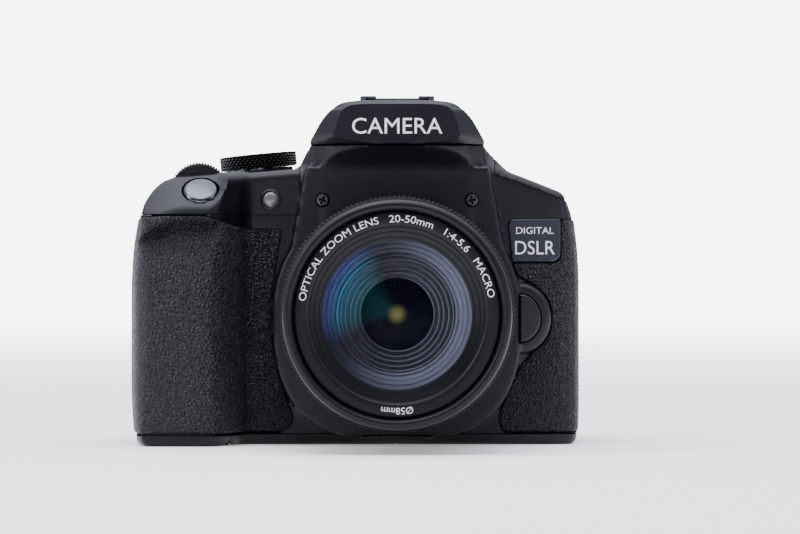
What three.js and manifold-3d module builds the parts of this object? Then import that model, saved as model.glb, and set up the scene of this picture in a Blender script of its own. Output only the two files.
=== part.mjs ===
// Digital single-lens reflex camera with a standard zoom lens, as an assembly of sixty pieces.
// Millimetres. +X is to the right when facing the lens, +Y runs from the lens to the back, +Z is up.
// The origin is on the base, under the optical axis, in the plane of the image sensor.
import * as THREE from "three";
import { mergeVertices } from "three/addons/utils/BufferGeometryUtils.js";
import Module from "manifold-3d";

const wasm = await Module();
wasm.setup();

// ---------------------------------------------------------------- driving dimensions

const GAP = 0.3; // clearance between neighbouring pieces
const WALL = 2.2; // thickness of the moulded covers
const SKIN = 0.9; // thickness of the rubber coverings

const AXIS_Z = 38.7; // height of the optical axis above the base
const SHOULDER_Z = 80; // height of the top plate beside the prism housing
const HUMP_RISE = 20.2; // prism housing above the top plate
const GRIP_SIDE = 77.7; // optical axis to the grip's outer side
const RIGHT_SIDE = 53.9; // optical axis to the opposite side
const PANEL_Y = -30; // front panel
const REAR_Y = 18; // rear face
const GRIP_Y = -50; // front of the grip
const GRIP_WIDTH = 32.2; // grip, across
const BASE_BAND = 3; // height of the base cover
const SEAM_DROP = 12.8; // top cover's lower edge, below the top plate
const SPLIT_Y = 6; // where the front and rear covers meet

const FLANGE_Y = -44; // lens mount plane
const NOSE_Y = -42; // front face of the mount housing
const NOSE_R = 36; // half width of the mount housing at the axis
const NOSE_DROP = 36.9; // mount housing's reach below the axis
const HUMP_FOOT = 28.6; // half width of the prism housing at the top plate
const FLASH_REAR_Y = -18.6; // back of the flash head
const LIP_Y = -47.2; // front edge of the brow under the flash head
const FLASH_FLOOR = 7.2; // flash head's seat above the top plate

const MOUNT_R = 27; // throat of the lens mount
const LENS_R = 33.25; // largest radius of the lens
const LENS_LENGTH = 61.8; // lens, from the mount plane to its front rim
const THREAD_R = 29; // filter thread
const GUIDE_R = 29.6; // outside of the fixed guide tube
const TUBE_R = 27.2; // outside of the sliding tube
const TUBE_WALL = 1.8;
const GLASS_R = 24.8; // front element

const SCREEN_WIDTH = 71;
const SCREEN_HEIGHT = 57;
const SCREEN_THICK = 6;
const SCREEN_FOOT_Z = 9.5; // lower edge of the screen
const HINGE_R = 3.1; // barrel of the screen hinge

const BUTTON_RISE = 0.9; // how far a button stands out of its face
const BUTTON_DEPTH = 3.4; // how far it reaches inwards
const DIAL_R = 11.4; // mode dial
const MAIN_DIAL_R = 8.8;
const QUICK_DIAL_R = 12.5;
const SHUTTER_R = 5.2;

const LEFT = -GRIP_SIDE;
const RIGHT = RIGHT_SIDE;
const HUMP_TOP = SHOULDER_Z + HUMP_RISE;
const SEAM_Z = SHOULDER_Z - SEAM_DROP;
const GRIP_IN = LEFT + GRIP_WIDTH;
const GRIP_MID = LEFT + 20.7; // shutter button and main dial
const EYE_Z = SHOULDER_Z + 3.5; // middle of the eyepiece
const FRONT_Y = FLANGE_Y - LENS_LENGTH;

// ---------------------------------------------------------------- solids

/** A closed three.js geometry as a solid, whichever way round its faces were drawn. */
function solid(geometry) {
  const bare = (geometry.index ? geometry.toNonIndexed() : geometry.clone());
  bare.deleteAttribute("normal");
  bare.deleteAttribute("uv");
  const merged = mergeVertices(bare, 1e-4);
  const whole = [];
  const index = merged.index.array;
  for (let i = 0; i < index.length; i += 3) {
    const [a, b, c] = [index[i], index[i + 1], index[i + 2]];
    if (a !== b && b !== c && c !== a) whole.push(a, b, c);
  }
  const build = (triangles) =>
    new wasm.Manifold(
      new wasm.Mesh({
        numProp: 3,
        vertProperties: new Float32Array(merged.attributes.position.array),
        triVerts: new Uint32Array(triangles),
      }),
    );
  const made = build(whole);
  return made.volume() > 0 ? made : build(whole.reverse());
}

/** A solid's surface as a three.js geometry. */
function geometryOf(made) {
  const mesh = made.getMesh();
  return new THREE.BufferGeometry()
    .setAttribute("position", new THREE.BufferAttribute(new Float32Array(mesh.vertProperties), 3))
    .setIndex(new THREE.BufferAttribute(new Uint32Array(mesh.triVerts), 1));
}

const join = (...solids) => solids.reduce((a, b) => a.add(b));
const cut = (first, ...rest) => rest.reduce((a, b) => a.subtract(b), first);
const common = (...solids) => solids.reduce((a, b) => a.intersect(b));

/** A solid moved and turned, with turns in degrees about X, then Y, then Z. */
function placed(made, [x, y, z], [rx, ry, rz] = [0, 0, 0]) {
  const turn = new THREE.Euler(...[rx, ry, rz].map(THREE.MathUtils.degToRad), "ZYX");
  const matrix = new THREE.Matrix4().makeRotationFromEuler(turn).setPosition(x, y, z);
  return made.transform(matrix.elements);
}

// ---------------------------------------------------------------- outlines

const unit = (x, y) => {
  const length = Math.hypot(x, y) || 1;
  return [x / length, y / length];
};

/** Moves each side of an anticlockwise outline of [x, y, softness] corners inwards by d. */
function inset(corners, d) {
  const n = corners.length;
  return corners.map(([x, y, soft = 0], i) => {
    const [px, py] = corners[(i + n - 1) % n];
    const [qx, qy] = corners[(i + 1) % n];
    const [ax, ay] = unit(x - px, y - py);
    const [bx, by] = unit(qx - x, qy - y);
    const k = d / (1 + ax * bx + ay * by);
    const convex = ax * by - ay * bx > 0;
    const softer = soft && Math.max(convex ? soft - d : soft + d, 0.3);
    return [x - k * (ay + by), y + k * (ax + bx), softer];
  });
}

/** A shape whose corners each turn in a curve that starts their softness away from them. */
function shapeOf(corners) {
  const shape = new THREE.Shape();
  const n = corners.length;
  const towards = ([x, y, soft = 0], [tx, ty]) => {
    const length = Math.hypot(tx - x, ty - y);
    const share = Math.min(soft, 0.48 * length) / length;
    return [x + (tx - x) * share, y + (ty - y) * share];
  };
  corners.forEach((corner, i) => {
    const start = towards(corner, corners[(i + n - 1) % n]);
    if (i === 0) shape.moveTo(...start);
    else shape.lineTo(...start);
    if (corner[2]) shape.quadraticCurveTo(corner[0], corner[1], ...towards(corner, corners[(i + 1) % n]));
  });
  shape.closePath();
  return shape;
}

function extruded(corners, depth, segments) {
  const options = { depth, bevelEnabled: false, curveSegments: segments };
  return new THREE.ExtrudeGeometry(shapeOf(corners), options);
}

/** An outline in X and Z, carried along Y. */
function alongY(corners, y0, y1, segments = 4) {
  return solid(extruded(corners, y1 - y0, segments).rotateX(Math.PI / 2).translate(0, y1, 0));
}

/** An outline in Y and Z, carried along X. */
function alongX(corners, x0, x1, segments = 4) {
  const geometry = extruded(corners, x1 - x0, segments);
  const axes = new THREE.Matrix4().makeBasis(
    new THREE.Vector3(0, 1, 0),
    new THREE.Vector3(0, 0, 1),
    new THREE.Vector3(1, 0, 0),
  );
  return solid(geometry.applyMatrix4(axes).translate(x0, 0, 0));
}

/** An outline in X and Y, carried along Z. */
function alongZ(corners, z0, z1, segments = 4) {
  return solid(extruded(corners, z1 - z0, segments).translate(0, 0, z0));
}

function block([x0, x1], [y0, y1], [z0, z1]) {
  const geometry = new THREE.BoxGeometry(x1 - x0, y1 - y0, z1 - z0);
  return solid(geometry.translate((x0 + x1) / 2, (y0 + y1) / 2, (z0 + z1) / 2));
}

/** A closed profile of [radius, height] points turned about the Z axis. */
function turned(profile, sides = 36) {
  const points = [...profile, profile[0]].map(([r, h]) => new THREE.Vector2(r, h));
  return solid(new THREE.LatheGeometry(points, sides).rotateX(Math.PI / 2));
}

/** A round bar along Z from z0 to z1. */
const bar = (r, z0, z1, sides = 20) => turned([[0, z0], [r, z0], [r, z1], [0, z1]], sides);

/** A ring along Z, between two radii. */
const ring = (inner, outer, z0, z1, sides = 36) =>
  turned([[inner, z0], [outer, z0], [outer, z1], [inner, z1]], sides);

/** A profile of [radius, y] points turned about the optical axis. */
function aroundAxis(profile, sides = 44) {
  const flat = profile.map(([r, y]) => [r, -y]);
  return placed(turned(flat, sides), [0, 0, AXIS_Z], [90, 0, 0]);
}

const mirrored = (half) => [...half, ...half.map(([x, z, soft]) => [-x, z, soft]).reverse()];

// ---------------------------------------------------------------- the body's outer form

/** The body seen from the front, without the prism housing. */
const frontOutline = [
  [LEFT + 1.6, 0, 4],
  [RIGHT - 0.8, 0, 3],
  [RIGHT, 10, 5],
  [RIGHT, SHOULDER_Z - 28, 7],
  [RIGHT - 2.7, SHOULDER_Z - 12.6, 4],
  [RIGHT - 5.5, SHOULDER_Z - 6.4, 1],
  [RIGHT - 19, SHOULDER_Z - 1, 3],
  [HUMP_FOOT, SHOULDER_Z + 1],
  [-HUMP_FOOT, SHOULDER_Z + 0.7],
  [GRIP_MID, SHOULDER_Z - 1.6, 4],
  [LEFT + 10.5, SHOULDER_Z - 2.4, 4],
  [LEFT + 4.2, SHOULDER_Z - 9, 4],
  [LEFT, SHOULDER_Z - 27, 8],
  [LEFT, 14, 6],
];

/** The body seen from above, without the grip and the mount housing. */
const planOutline = [
  [LEFT, PANEL_Y],
  [RIGHT, PANEL_Y, 9],
  [RIGHT, REAR_Y, 6],
  [LEFT + 1, REAR_Y, 9],
];

const gripPlan = [
  [LEFT, GRIP_Y, 17],
  [GRIP_IN - 7, GRIP_Y, 8],
  [GRIP_IN, PANEL_Y - 5, 4],
  [GRIP_IN + 1.5, PANEL_Y + 10],
  [LEFT, PANEL_Y + 18],
];

const gripSide = [
  [GRIP_Y + 5, 0, 3],
  [PANEL_Y + 18, 0],
  [PANEL_Y + 18, SHOULDER_Z + 0.5],
  [GRIP_Y + 15.5, SHOULDER_Z - 0.4, 4],
  [GRIP_Y + 0.4, SEAM_Z - 0.4, 1],
  [GRIP_Y + 3, SEAM_Z - 4.5, 2],
  [GRIP_Y + 0.8, 36, 10],
  [GRIP_Y + 2, 12, 5],
];

/** A point of the mount housing's lower rim, a slightly squared circle. */
function noseRim(degrees) {
  const a = THREE.MathUtils.degToRad(degrees);
  const squared = (v, reach) => reach * Math.sign(v) * Math.abs(v) ** (2 / 2.8);
  return [squared(Math.cos(a), NOSE_R), AXIS_Z + squared(Math.sin(a), NOSE_DROP)];
}

/** The mount housing from the front: round below the axis, leaning straight sides above it. */
function noseOutline() {
  const low = [];
  const steps = 16;
  for (let i = 0; i <= steps; i++) low.push(noseRim(180 + (180 * i) / steps));
  const shoulder = (degrees) => {
    const a = THREE.MathUtils.degToRad(degrees);
    return [NOSE_R * Math.cos(a), AXIS_Z + NOSE_R * Math.sin(a)];
  };
  const side = [shoulder(12), shoulder(24), shoulder(32), [28.2, SHOULDER_Z - 8.3], [26.2, SHOULDER_Z + 1]];
  const left = side.map(([x, z]) => [-x, z]).reverse();
  return [...low, ...side, ...left];
}

/** The boss round the lens release, beside the mount housing. */
const RELEASE_X = 35.4;
const RELEASE_Z = 37;
const RELEASE_R = 7.1;
const RELEASE_Y = PANEL_Y - 8.2;
function releaseOutline(r, flatX, steps = 10) {
  const points = [];
  for (let i = 1; i < steps; i++) {
    const a = -Math.PI / 2 + (Math.PI * i) / steps;
    points.push([RELEASE_X + 0.9 * r * Math.cos(a), RELEASE_Z + r * Math.sin(a)]);
  }
  return [[flatX, RELEASE_Z + r], [flatX, RELEASE_Z - r], ...points];
}

const humpHalf = [
  [HUMP_FOOT, SHOULDER_Z - 12],
  [HUMP_FOOT - 0.2, SHOULDER_Z + 2, 2],
  [25.4, SHOULDER_Z + FLASH_FLOOR + 0.9, 2],
  [21.4, HUMP_TOP - 4.7, 2],
  [16.8, HUMP_TOP - 0.7, 2],
  [10.5, HUMP_TOP],
];

const browHalf = [
  [31, AXIS_Z + 12],
  [31, AXIS_Z + 18],
  [28.2, SHOULDER_Z - 8.3],
  [26.4, SHOULDER_Z + 1],
  [25.3, SHOULDER_Z + FLASH_FLOOR],
];

const browProfile = [
  [NOSE_Y, AXIS_Z + 12],
  [FLASH_REAR_Y, AXIS_Z + 12],
  [FLASH_REAR_Y, SHOULDER_Z + FLASH_FLOOR],
  [LIP_Y, SHOULDER_Z + FLASH_FLOOR],
  [LIP_Y + 3.4, SHOULDER_Z + 4, 1],
  [NOSE_Y + 0.8, SHOULDER_Z, 2],
  [NOSE_Y, SHOULDER_Z - 7],
];

const browPlan = (front) => [
  [-32, FLASH_REAR_Y],
  [-32, PANEL_Y - 6, 1],
  [-25.4, front + 9, 3],
  [-18.5, front + 2.2, 4],
  [0, front - 0.6, 10],
  [18.5, front + 2.2, 4],
  [25.4, front + 9, 3],
  [32, PANEL_Y - 6, 1],
  [32, FLASH_REAR_Y],
];

const humpProfile = [
  [FLASH_REAR_Y - 7, SHOULDER_Z - 20],
  [REAR_Y, SHOULDER_Z - 20],
  [REAR_Y, EYE_Z + 9, 2],
  [SPLIT_Y + 2, HUMP_TOP - 0.8, 3],
  [FLASH_REAR_Y, HUMP_TOP - 0.8],
  [FLASH_REAR_Y, SHOULDER_Z + FLASH_FLOOR],
  [FLASH_REAR_Y - 7, SHOULDER_Z + FLASH_FLOOR],
];

const eyeOutline = (halfWidth, halfHeight, soft) => [
  [-halfWidth, EYE_Z - halfHeight, soft],
  [halfWidth, EYE_Z - halfHeight, soft],
  [halfWidth, EYE_Z + halfHeight, soft],
  [-halfWidth, EYE_Z + halfHeight, soft],
];

/** The main block, seen from the front and from above, taken in by d. */
function mainBlock(d) {
  return common(
    alongY(inset(frontOutline, d), PANEL_Y + d, REAR_Y - d),
    alongZ(inset(planOutline, d), d, SHOULDER_Z + 10),
  );
}

function gripBlock(d) {
  return common(
    alongZ(inset(gripPlan, d), 0, SHOULDER_Z + 10, 6),
    alongX(inset(gripSide, d), LEFT - 5, GRIP_IN + 5),
    alongY(inset(frontOutline, d), GRIP_Y - 5, REAR_Y),
  );
}

/** The body's form taken in by d on every side, which makes its hollow. */
function bodyForm(d) {
  const nose = alongY(inset(noseOutline(), d), NOSE_Y + d, PANEL_Y + 7 - d);
  const boss = alongY(inset(releaseOutline(RELEASE_R + 3.2, RELEASE_X - 8), d), RELEASE_Y + d, PANEL_Y + 7 - d);
  const brow = common(
    alongY(inset(mirrored(browHalf), d), LIP_Y - 5, FLASH_REAR_Y - d),
    alongX(inset(browProfile, d), -32, 32),
    alongZ(inset(browPlan(LIP_Y).reverse().map(([x, y, s]) => [-x, y, s]), d), 0, HUMP_TOP),
  );
  const hump = common(
    alongY(inset(mirrored(humpHalf), d), FLASH_REAR_Y - 7, REAR_Y),
    alongX(inset(humpProfile, d), -32, 32),
  );
  const eyepiece = alongY(inset(eyeOutline(18, 11.5, 3), d), SPLIT_Y - 4, REAR_Y + 1.8 - d);
  return join(mainBlock(d), gripBlock(d), nose, boss, brow, hump, eyepiece);
}

// ---------------------------------------------------------------- screen recess and covers

const SCREEN_RIGHT = RIGHT - 2 * HINGE_R - 1.2; // edge beside the hinge
const SCREEN_LEFT = SCREEN_RIGHT - SCREEN_WIDTH;
const SCREEN_Y = REAR_Y + 2 - SCREEN_THICK; // inner face
const SCREEN_TOP_Z = SCREEN_FOOT_Z + SCREEN_HEIGHT;
const HINGE_X = RIGHT - HINGE_R - 0.4;
const HINGE_Y = REAR_Y - 1.4;

/** The recess that the screen folds into, open to the side where its hinge is. */
function screenRecess(d) {
  return block(
    [SCREEN_LEFT - 0.5 - d, RIGHT + 5],
    [SCREEN_Y - 0.8 - d, REAR_Y + 10],
    [SCREEN_FOOT_Z - 0.5 - d, SCREEN_TOP_Z + 0.5 + d],
  );
}

const FAR = 200; // beyond the object on every side

/** The zone of the top cover, grown by d. */
function topZone(d) {
  const beside = alongY(
    [
      [-FAR, SEAM_Z - d],
      [-HUMP_FOOT + d, SEAM_Z - d],
      [-HUMP_FOOT + d, FAR],
      [-FAR, FAR],
    ],
    -FAR,
    FAR,
  );
  const shoulder = alongY(
    [
      [HUMP_FOOT - d, SHOULDER_Z - 1 - d],
      [RIGHT - 19, SHOULDER_Z - 3 - d],
      [RIGHT - 5, SHOULDER_Z - 8.4 - d],
      [FAR, SHOULDER_Z - 8.4 - d],
      [FAR, FAR],
      [HUMP_FOOT - d, FAR],
    ],
    -FAR,
    FAR,
  );
  const middle = block(
    [-HUMP_FOOT - 1, HUMP_FOOT + 1],
    [FLASH_REAR_Y + GAP - d, SPLIT_Y + 2 + d],
    [SHOULDER_Z - 1 - d, FAR],
  );
  return join(beside, shoulder, middle);
}

const hollow = cut(bodyForm(WALL), screenRecess(WALL));
const shell = cut(bodyForm(0), hollow, screenRecess(0));
const above = (z) => block([-FAR, FAR], [-FAR, FAR], [z, FAR]);
const frontZone = join(
  block([-FAR, FAR], [-FAR, SPLIT_Y - GAP / 2], [0, SHOULDER_Z - 1]),
  block([-HUMP_FOOT, HUMP_FOOT], [-FAR, FLASH_REAR_Y], [0, FAR]),
);
const rearZone = join(
  block([-FAR, FAR], [SPLIT_Y + GAP / 2, FAR], [0, SHOULDER_Z - 1]),
  block([-HUMP_FOOT - 1, HUMP_FOOT + 1], [SPLIT_Y + 2 + GAP, FAR], [0, FAR]),
);
const lower = cut(common(shell, above(BASE_BAND + GAP)), topZone(GAP));

// ---------------------------------------------------------------- controls and where they sit

/** A place on the rear face between the screen and the grip's side, as a share of that width. */
const besideScreen = (share) => SCREEN_LEFT + (LEFT - SCREEN_LEFT) * share;

/** Buttons on the rear face: [name, x, z, radius]. */
const REAR_BUTTONS = [
  ["live_view_button", besideScreen(0.13), SHOULDER_Z - 18.5, 3],
  ["af_on_button", besideScreen(0.33), SHOULDER_Z - 18.5, 2.7],
  ["ae_lock_button", besideScreen(0.61), SHOULDER_Z - 18.5, 2.4],
  ["af_point_button", besideScreen(0.77), SHOULDER_Z - 18.5, 2.4],
  ["play_button", besideScreen(0.48), 15, 2.7],
  ["erase_button", besideScreen(0.22), 15, 2.7],
  ["menu_button", RIGHT - 12, SHOULDER_Z - 9.8, 2.2],
  ["info_button", RIGHT - 20, SHOULDER_Z - 9.4, 2.2],
];
const QUICK_X = besideScreen(0.36);
const QUICK_Z = AXIS_Z - 3;
const SET_R = QUICK_DIAL_R - 6.5;

/** A button whose axis is Z, with its face BUTTON_RISE above z = 0. */
const button = (r, depth = BUTTON_DEPTH) =>
  turned([[0, -depth], [r, -depth], [r, BUTTON_RISE - 0.4], [r - 0.4, BUTTON_RISE], [0, BUTTON_RISE]], 16);
const buttonHole = (r) => bar(r + GAP, -BUTTON_DEPTH - 3, BUTTON_RISE + 4, 16);

const TO_REAR = [-90, 0, 0]; // turns +Z to +Y
const TO_FRONT = [90, 0, 0]; // turns +Z to -Y

const SHUTTER_TILT = 42; // the shelf's lean towards the front
const SHUTTER_AT = [GRIP_MID, GRIP_Y + 8.4, SEAM_Z + 6.2];
const shutterTurn = [SHUTTER_TILT, 0, 0];

const MAIN_DIAL_AT = [GRIP_MID - 1, PANEL_Y + 3.6, SHOULDER_Z - 6.2];
const MAIN_DIAL_HALF = 2.5; // half its thickness

const TOP_SLOPE = 5.5; // degrees, top plate rising towards the prism housing
const MODE_DIAL_AT = [LEFT + 36.6, -3.5, SHOULDER_Z - 0.2];
const modeTurn = [0, -TOP_SLOPE, 0];
const SHAFT_R = 4;
const LEVER_THICK = 0.9;
const MODE_DIAL_HEIGHT = 4.1;

const ISO_AT = [GRIP_MID - 5, PANEL_Y + 15, SHOULDER_Z - 1.6];

const LAMP_AT = [-HUMP_FOOT - 8.4, PANEL_Y, SHOULDER_Z - 8.4];
const LAMP_R = 2.2;

const SCREW_X = 21.6;
const SCREW_Z = SHOULDER_Z - 8.7;
const SCREW_R = 1.75;

const PREVIEW_ANGLE = -136; // round the axis, degrees
const [PREVIEW_X, PREVIEW_Z] = noseRim(PREVIEW_ANGLE);
const PREVIEW_AT = [PREVIEW_X, NOSE_Y + 6, PREVIEW_Z];
const previewTurn = [0, 90 - PREVIEW_ANGLE, 0]; // turns +Z to point away from the axis

const KNOB_R = 4.2;
const KNOB_AT = [-HUMP_FOOT + 4.9, SPLIT_Y + 6.4, EYE_Z + 3.5];

const SIDE_DOOR_THICK = 1.6;
const PORT_Y = [-18, 2]; // terminal cover, front to back
const PORT_Z = [18, 58];
const CARD_Y = [-4, SPLIT_Y - 1]; // memory card door
const CARD_Z = [20, 54];

const DOOR_X = [LEFT + 5.5, GRIP_IN - 3.5];
const DOOR_Y = [GRIP_Y + 10, SPLIT_Y - 2];
const DOOR_THICK = 2;
const DOOR_LIFT = 0.15; // the door stays this far off the ground
const LATCH_AT = [DOOR_X[0] + 8, DOOR_Y[1] - 10];
const LATCH_HALF = 3;
const LATCH_TRAVEL = 2;

const SOCKET_AT = [0, -20, 0];
const SOCKET_R = 8;
const SOCKET_BORE_R = 3.2;

const LUG_Y = [-2, 8];
const LUG_Z = [SHOULDER_Z - 19.5, SHOULDER_Z - 10.5];

// ---------------------------------------------------------------- assembly helpers

const camera = new THREE.Group();
const finish = (color, roughness, metalness = 0) => new THREE.MeshStandardMaterial({ color, roughness, metalness });
const FINISHES = {
  shell: () => finish(0x1d1d21, 0.45),
  rubber: () => finish(0x1b1b1e, 0.85),
  button: () => finish(0x151517, 0.35),
  steel: () => finish(0xb9bbc0, 0.3, 1),
  blackMetal: () => finish(0x202124, 0.4, 0.8),
  glass: () => finish(0x1a2833, 0.05),
  grey: () => finish(0x6f7075, 0.4, 0.3),
};

function piece(name, made, look, parent = camera) {
  const mesh = new THREE.Mesh(geometryOf(made), FINISHES[look]());
  mesh.name = name;
  parent.add(mesh);
  return mesh;
}

/** A piece modelled about its own axis and put in place by its mesh. */
function setPiece(name, made, look, [x, y, z], [rx, ry, rz] = [0, 0, 0], parent = camera) {
  const mesh = piece(name, made, look, parent);
  mesh.position.set(x, y, z);
  mesh.rotation.set(...[rx, ry, rz].map(THREE.MathUtils.degToRad), "ZYX");
  return mesh;
}

// ---------------------------------------------------------------- covers

function makeCovers() {
  const rearHoles = REAR_BUTTONS.map(([, x, z, r]) => placed(buttonHole(r), [x, REAR_Y, z], TO_REAR));
  const setHole = placed(buttonHole(SET_R), [QUICK_X, REAR_Y, QUICK_Z], TO_REAR);

  const throat = aroundAxis([[0, NOSE_Y - 3], [MOUNT_R + 0.6, NOSE_Y - 3], [MOUNT_R + 0.6, PANEL_Y + 8], [0, PANEL_Y + 8]]);
  const releasePocket = alongY(releaseOutline(RELEASE_R + GAP, RELEASE_X - GAP), RELEASE_Y - 3, RELEASE_Y + 6.5);
  const screwSeats = [-1, 1].map((side) =>
    placed(
      join(bar(SCREW_R + GAP, -1.4, 3, 16), bar(1.3, -5, 0, 12)),
      [side * SCREW_X, NOSE_Y, SCREW_Z],
      TO_FRONT,
    ),
  );
  const previewHole = placed(buttonHole(2.3), PREVIEW_AT, previewTurn);
  const sideDoors = [sideOpening(1, PORT_Y, PORT_Z, GAP), sideOpening(-1, CARD_Y, CARD_Z, GAP)];
  const lugs = [lugPocket(-1), lugPocket(1)];
  const holes = [throat, releasePocket, ...screwSeats, previewHole, ...sideDoors, ...lugs];
  const front = cut(common(lower, frontZone), ...holes);
  piece("front_cover", front, "shell");

  const eyeHole = alongY(eyeOutline(11, 7.5, 2), SPLIT_Y, REAR_Y + 10);
  const knobSlot = block(
    [KNOB_AT[0] - 5, KNOB_AT[0] + 2.3],
    [KNOB_AT[1] - KNOB_R - GAP, KNOB_AT[1] + KNOB_R + GAP],
    [KNOB_AT[2] - KNOB_R - GAP, KNOB_AT[2] + KNOB_R + GAP],
  );
  const rear = cut(common(lower, rearZone), ...rearHoles, setHole, eyeHole, knobSlot, ...lugs);
  piece("rear_cover", rear, "shell");

  const shutterHole = placed(buttonHole(SHUTTER_R), SHUTTER_AT, shutterTurn);
  const dialSlot = block(
    [MAIN_DIAL_AT[0] - MAIN_DIAL_R - 0.6, MAIN_DIAL_AT[0] + MAIN_DIAL_R + 0.6],
    [MAIN_DIAL_AT[1] - MAIN_DIAL_HALF - GAP, MAIN_DIAL_AT[1] + MAIN_DIAL_HALF + GAP],
    [MAIN_DIAL_AT[2] - 2, FAR],
  );
  const modeHole = placed(bar(SHAFT_R + GAP, -8, 8, 20), MODE_DIAL_AT, modeTurn);
  const isoHole = placed(buttonHole(2.4), ISO_AT);
  const lampHole = placed(bar(LAMP_R + GAP, -4, 4, 20), LAMP_AT, TO_FRONT);
  const top = cut(
    common(shell, topZone(0), above(BASE_BAND)),
    shutterHole, dialSlot, modeHole, isoHole, lampHole, knobSlot, ...lugs,
  );
  piece("top_cover", top, "shell");

  const door = block(
    [DOOR_X[0] - GAP, DOOR_X[1] + GAP],
    [DOOR_Y[0] - GAP, DOOR_Y[1] + GAP],
    [-1, BASE_BAND + 1],
  );
  const socket = placed(bar(SOCKET_R + GAP, -1, BASE_BAND + 1), SOCKET_AT);
  const base = cut(shell, above(BASE_BAND), door, socket);
  piece("bottom_cover", base, "shell");
}

/** The space of a door in the side, grown by d; side is -1 on the grip's side. */
function sideOpening(side, [y0, y1], [z0, z1], d) {
  const x = side < 0 ? LEFT : RIGHT;
  return block([x - 6, x + 6], [y0 - d, y1 + d], [z0 - d, z1 + d]);
}

/** A recess in the side for a strap lug; side is -1 on the grip's side. */
function lugPocket(side) {
  const x = side < 0 ? LEFT : RIGHT;
  const span = [x - 6.5, x + 6.5];
  return block(span, [LUG_Y[0] - GAP, LUG_Y[1] + GAP], [LUG_Z[0] - GAP, LUG_Z[1] + GAP]);
}

/** A strap lug: a slotted steel tab set in the recess. */
function makeStrapLug(name, side) {
  const x = side < 0 ? LEFT + 3.6 : RIGHT - 4.6;
  const tab = block([x - 0.75, x + 0.75], LUG_Y, LUG_Z);
  const slot = block([x - 3, x + 3], [LUG_Y[0] + 1.6, LUG_Y[1] - 1.6], [LUG_Z[0] + 2.5, LUG_Z[1] - 1.8]);
  piece(name, cut(tab, slot), "steel");
}

// ---------------------------------------------------------------- rubber coverings, badge, trim

/** A skin lying on the body's form inside an outline seen from the front. */
function skinOn(formOf, corners, y0, y1) {
  const layer = cut(formOf(-GAP - SKIN), formOf(-GAP));
  return common(layer, alongY(corners, y0, y1, 6));
}

const gripLeather = [
  [LEFT - 5, BASE_BAND + 0.8],
  [-33, BASE_BAND + 0.8, 2],
  [-29.9, 7.6, 3],
  [-33.9, 17, 6],
  [-38.2, AXIS_Z - 3, 12],
  [-35.6, AXIS_Z + 13, 6],
  [-33.6, SEAM_Z - 0.6, 1],
  [LEFT - 5, SEAM_Z - 0.6],
];

const BADGE_LEFT = HUMP_FOOT + 3.6;
const BADGE_RIGHT = RIGHT - 6.2;
const BADGE_Z = [SHOULDER_Z - 26.6, SHOULDER_Z - 14.2];
const rightLeather = [
  [31, BASE_BAND + 0.8, 1],
  [RIGHT + 3, BASE_BAND + 0.8],
  [RIGHT + 3, BADGE_Z[1]],
  [BADGE_RIGHT + GAP, BADGE_Z[1]],
  [BADGE_RIGHT + GAP, BADGE_Z[0] - GAP, 3],
  [BADGE_LEFT + 1.6, BADGE_Z[0] - GAP],
  [BADGE_LEFT + 2.6, RELEASE_Z + RELEASE_R + 5, 1],
  [RELEASE_X + 3, RELEASE_Z + RELEASE_R + 3.6, 3],
  [RELEASE_X + 8.6, RELEASE_Z + 6.6, 3],
  [RELEASE_X + 10.2, RELEASE_Z, 4],
  [RELEASE_X + 8.6, RELEASE_Z - 6.6, 3],
  [RELEASE_X + 3, RELEASE_Z - RELEASE_R - 3.6, 3],
  [RELEASE_X - 1.2, 20, 3],
  [29.3, 8, 3],
];

function makeTrim() {
  const body = (d) => join(mainBlock(d), gripBlock(d));
  piece("grip_rubber", skinOn(body, gripLeather, GRIP_Y - 5, CARD_Y[0] - 1), "rubber");
  piece("front_rubber", skinOn(mainBlock, rightLeather, PANEL_Y - 4, PANEL_Y + 7), "rubber");
  const thumbEdge = QUICK_X - QUICK_DIAL_R - 1.8;
  const thumb = [
    [LEFT - 4, 28],
    [thumbEdge, 28, 3],
    [thumbEdge, SHOULDER_Z - 24, 3],
    [LEFT - 4, SHOULDER_Z - 24],
  ];
  piece("thumb_rubber", skinOn(mainBlock, thumb, REAR_Y - 6, REAR_Y + 3), "rubber");

  const badge = [
    [BADGE_LEFT + 1.4, BADGE_Z[0]],
    [BADGE_RIGHT, BADGE_Z[0], 3],
    [BADGE_RIGHT, BADGE_Z[1]],
    [BADGE_LEFT, BADGE_Z[1], 2],
  ];
  piece("badge_plate", alongY(badge, PANEL_Y - GAP - SKIN, PANEL_Y - GAP), "button");

  setPiece("self_timer_lamp", turned([[0, -2], [LAMP_R, -2], [LAMP_R, 0.2], [0, 0.7]], 20), "grey", LAMP_AT, TO_FRONT);
  for (const [name, side] of [["front_screw_right", -1], ["front_screw_left", 1]]) {
    const head = join(bar(SCREW_R, -1, 0, 16), bar(1, -4, -0.5, 12));
    const slots = [0, 90].map((turn) => placed(block([-1.1, 1.1], [-0.25, 0.25], [-0.6, 1]), [0, 0, 0], [0, 0, turn]));
    setPiece(name, cut(head, ...slots), "blackMetal", [side * SCREW_X, NOSE_Y, SCREW_Z], TO_FRONT);
  }
  makeStrapLug("strap_lug_right", -1);
  makeStrapLug("strap_lug_left", 1);
}

const SHOE_HALF = 11;
const SHOE_SLOT_HALF = 9.4;
const SHOE_MOUTH_HALF = 6.3;
const SHOE_Y = [-14, 5];
const SHOE_BASE_Z = HUMP_TOP - 0.8 + GAP;
const SHOE_HEIGHT = 2.9;

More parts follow.
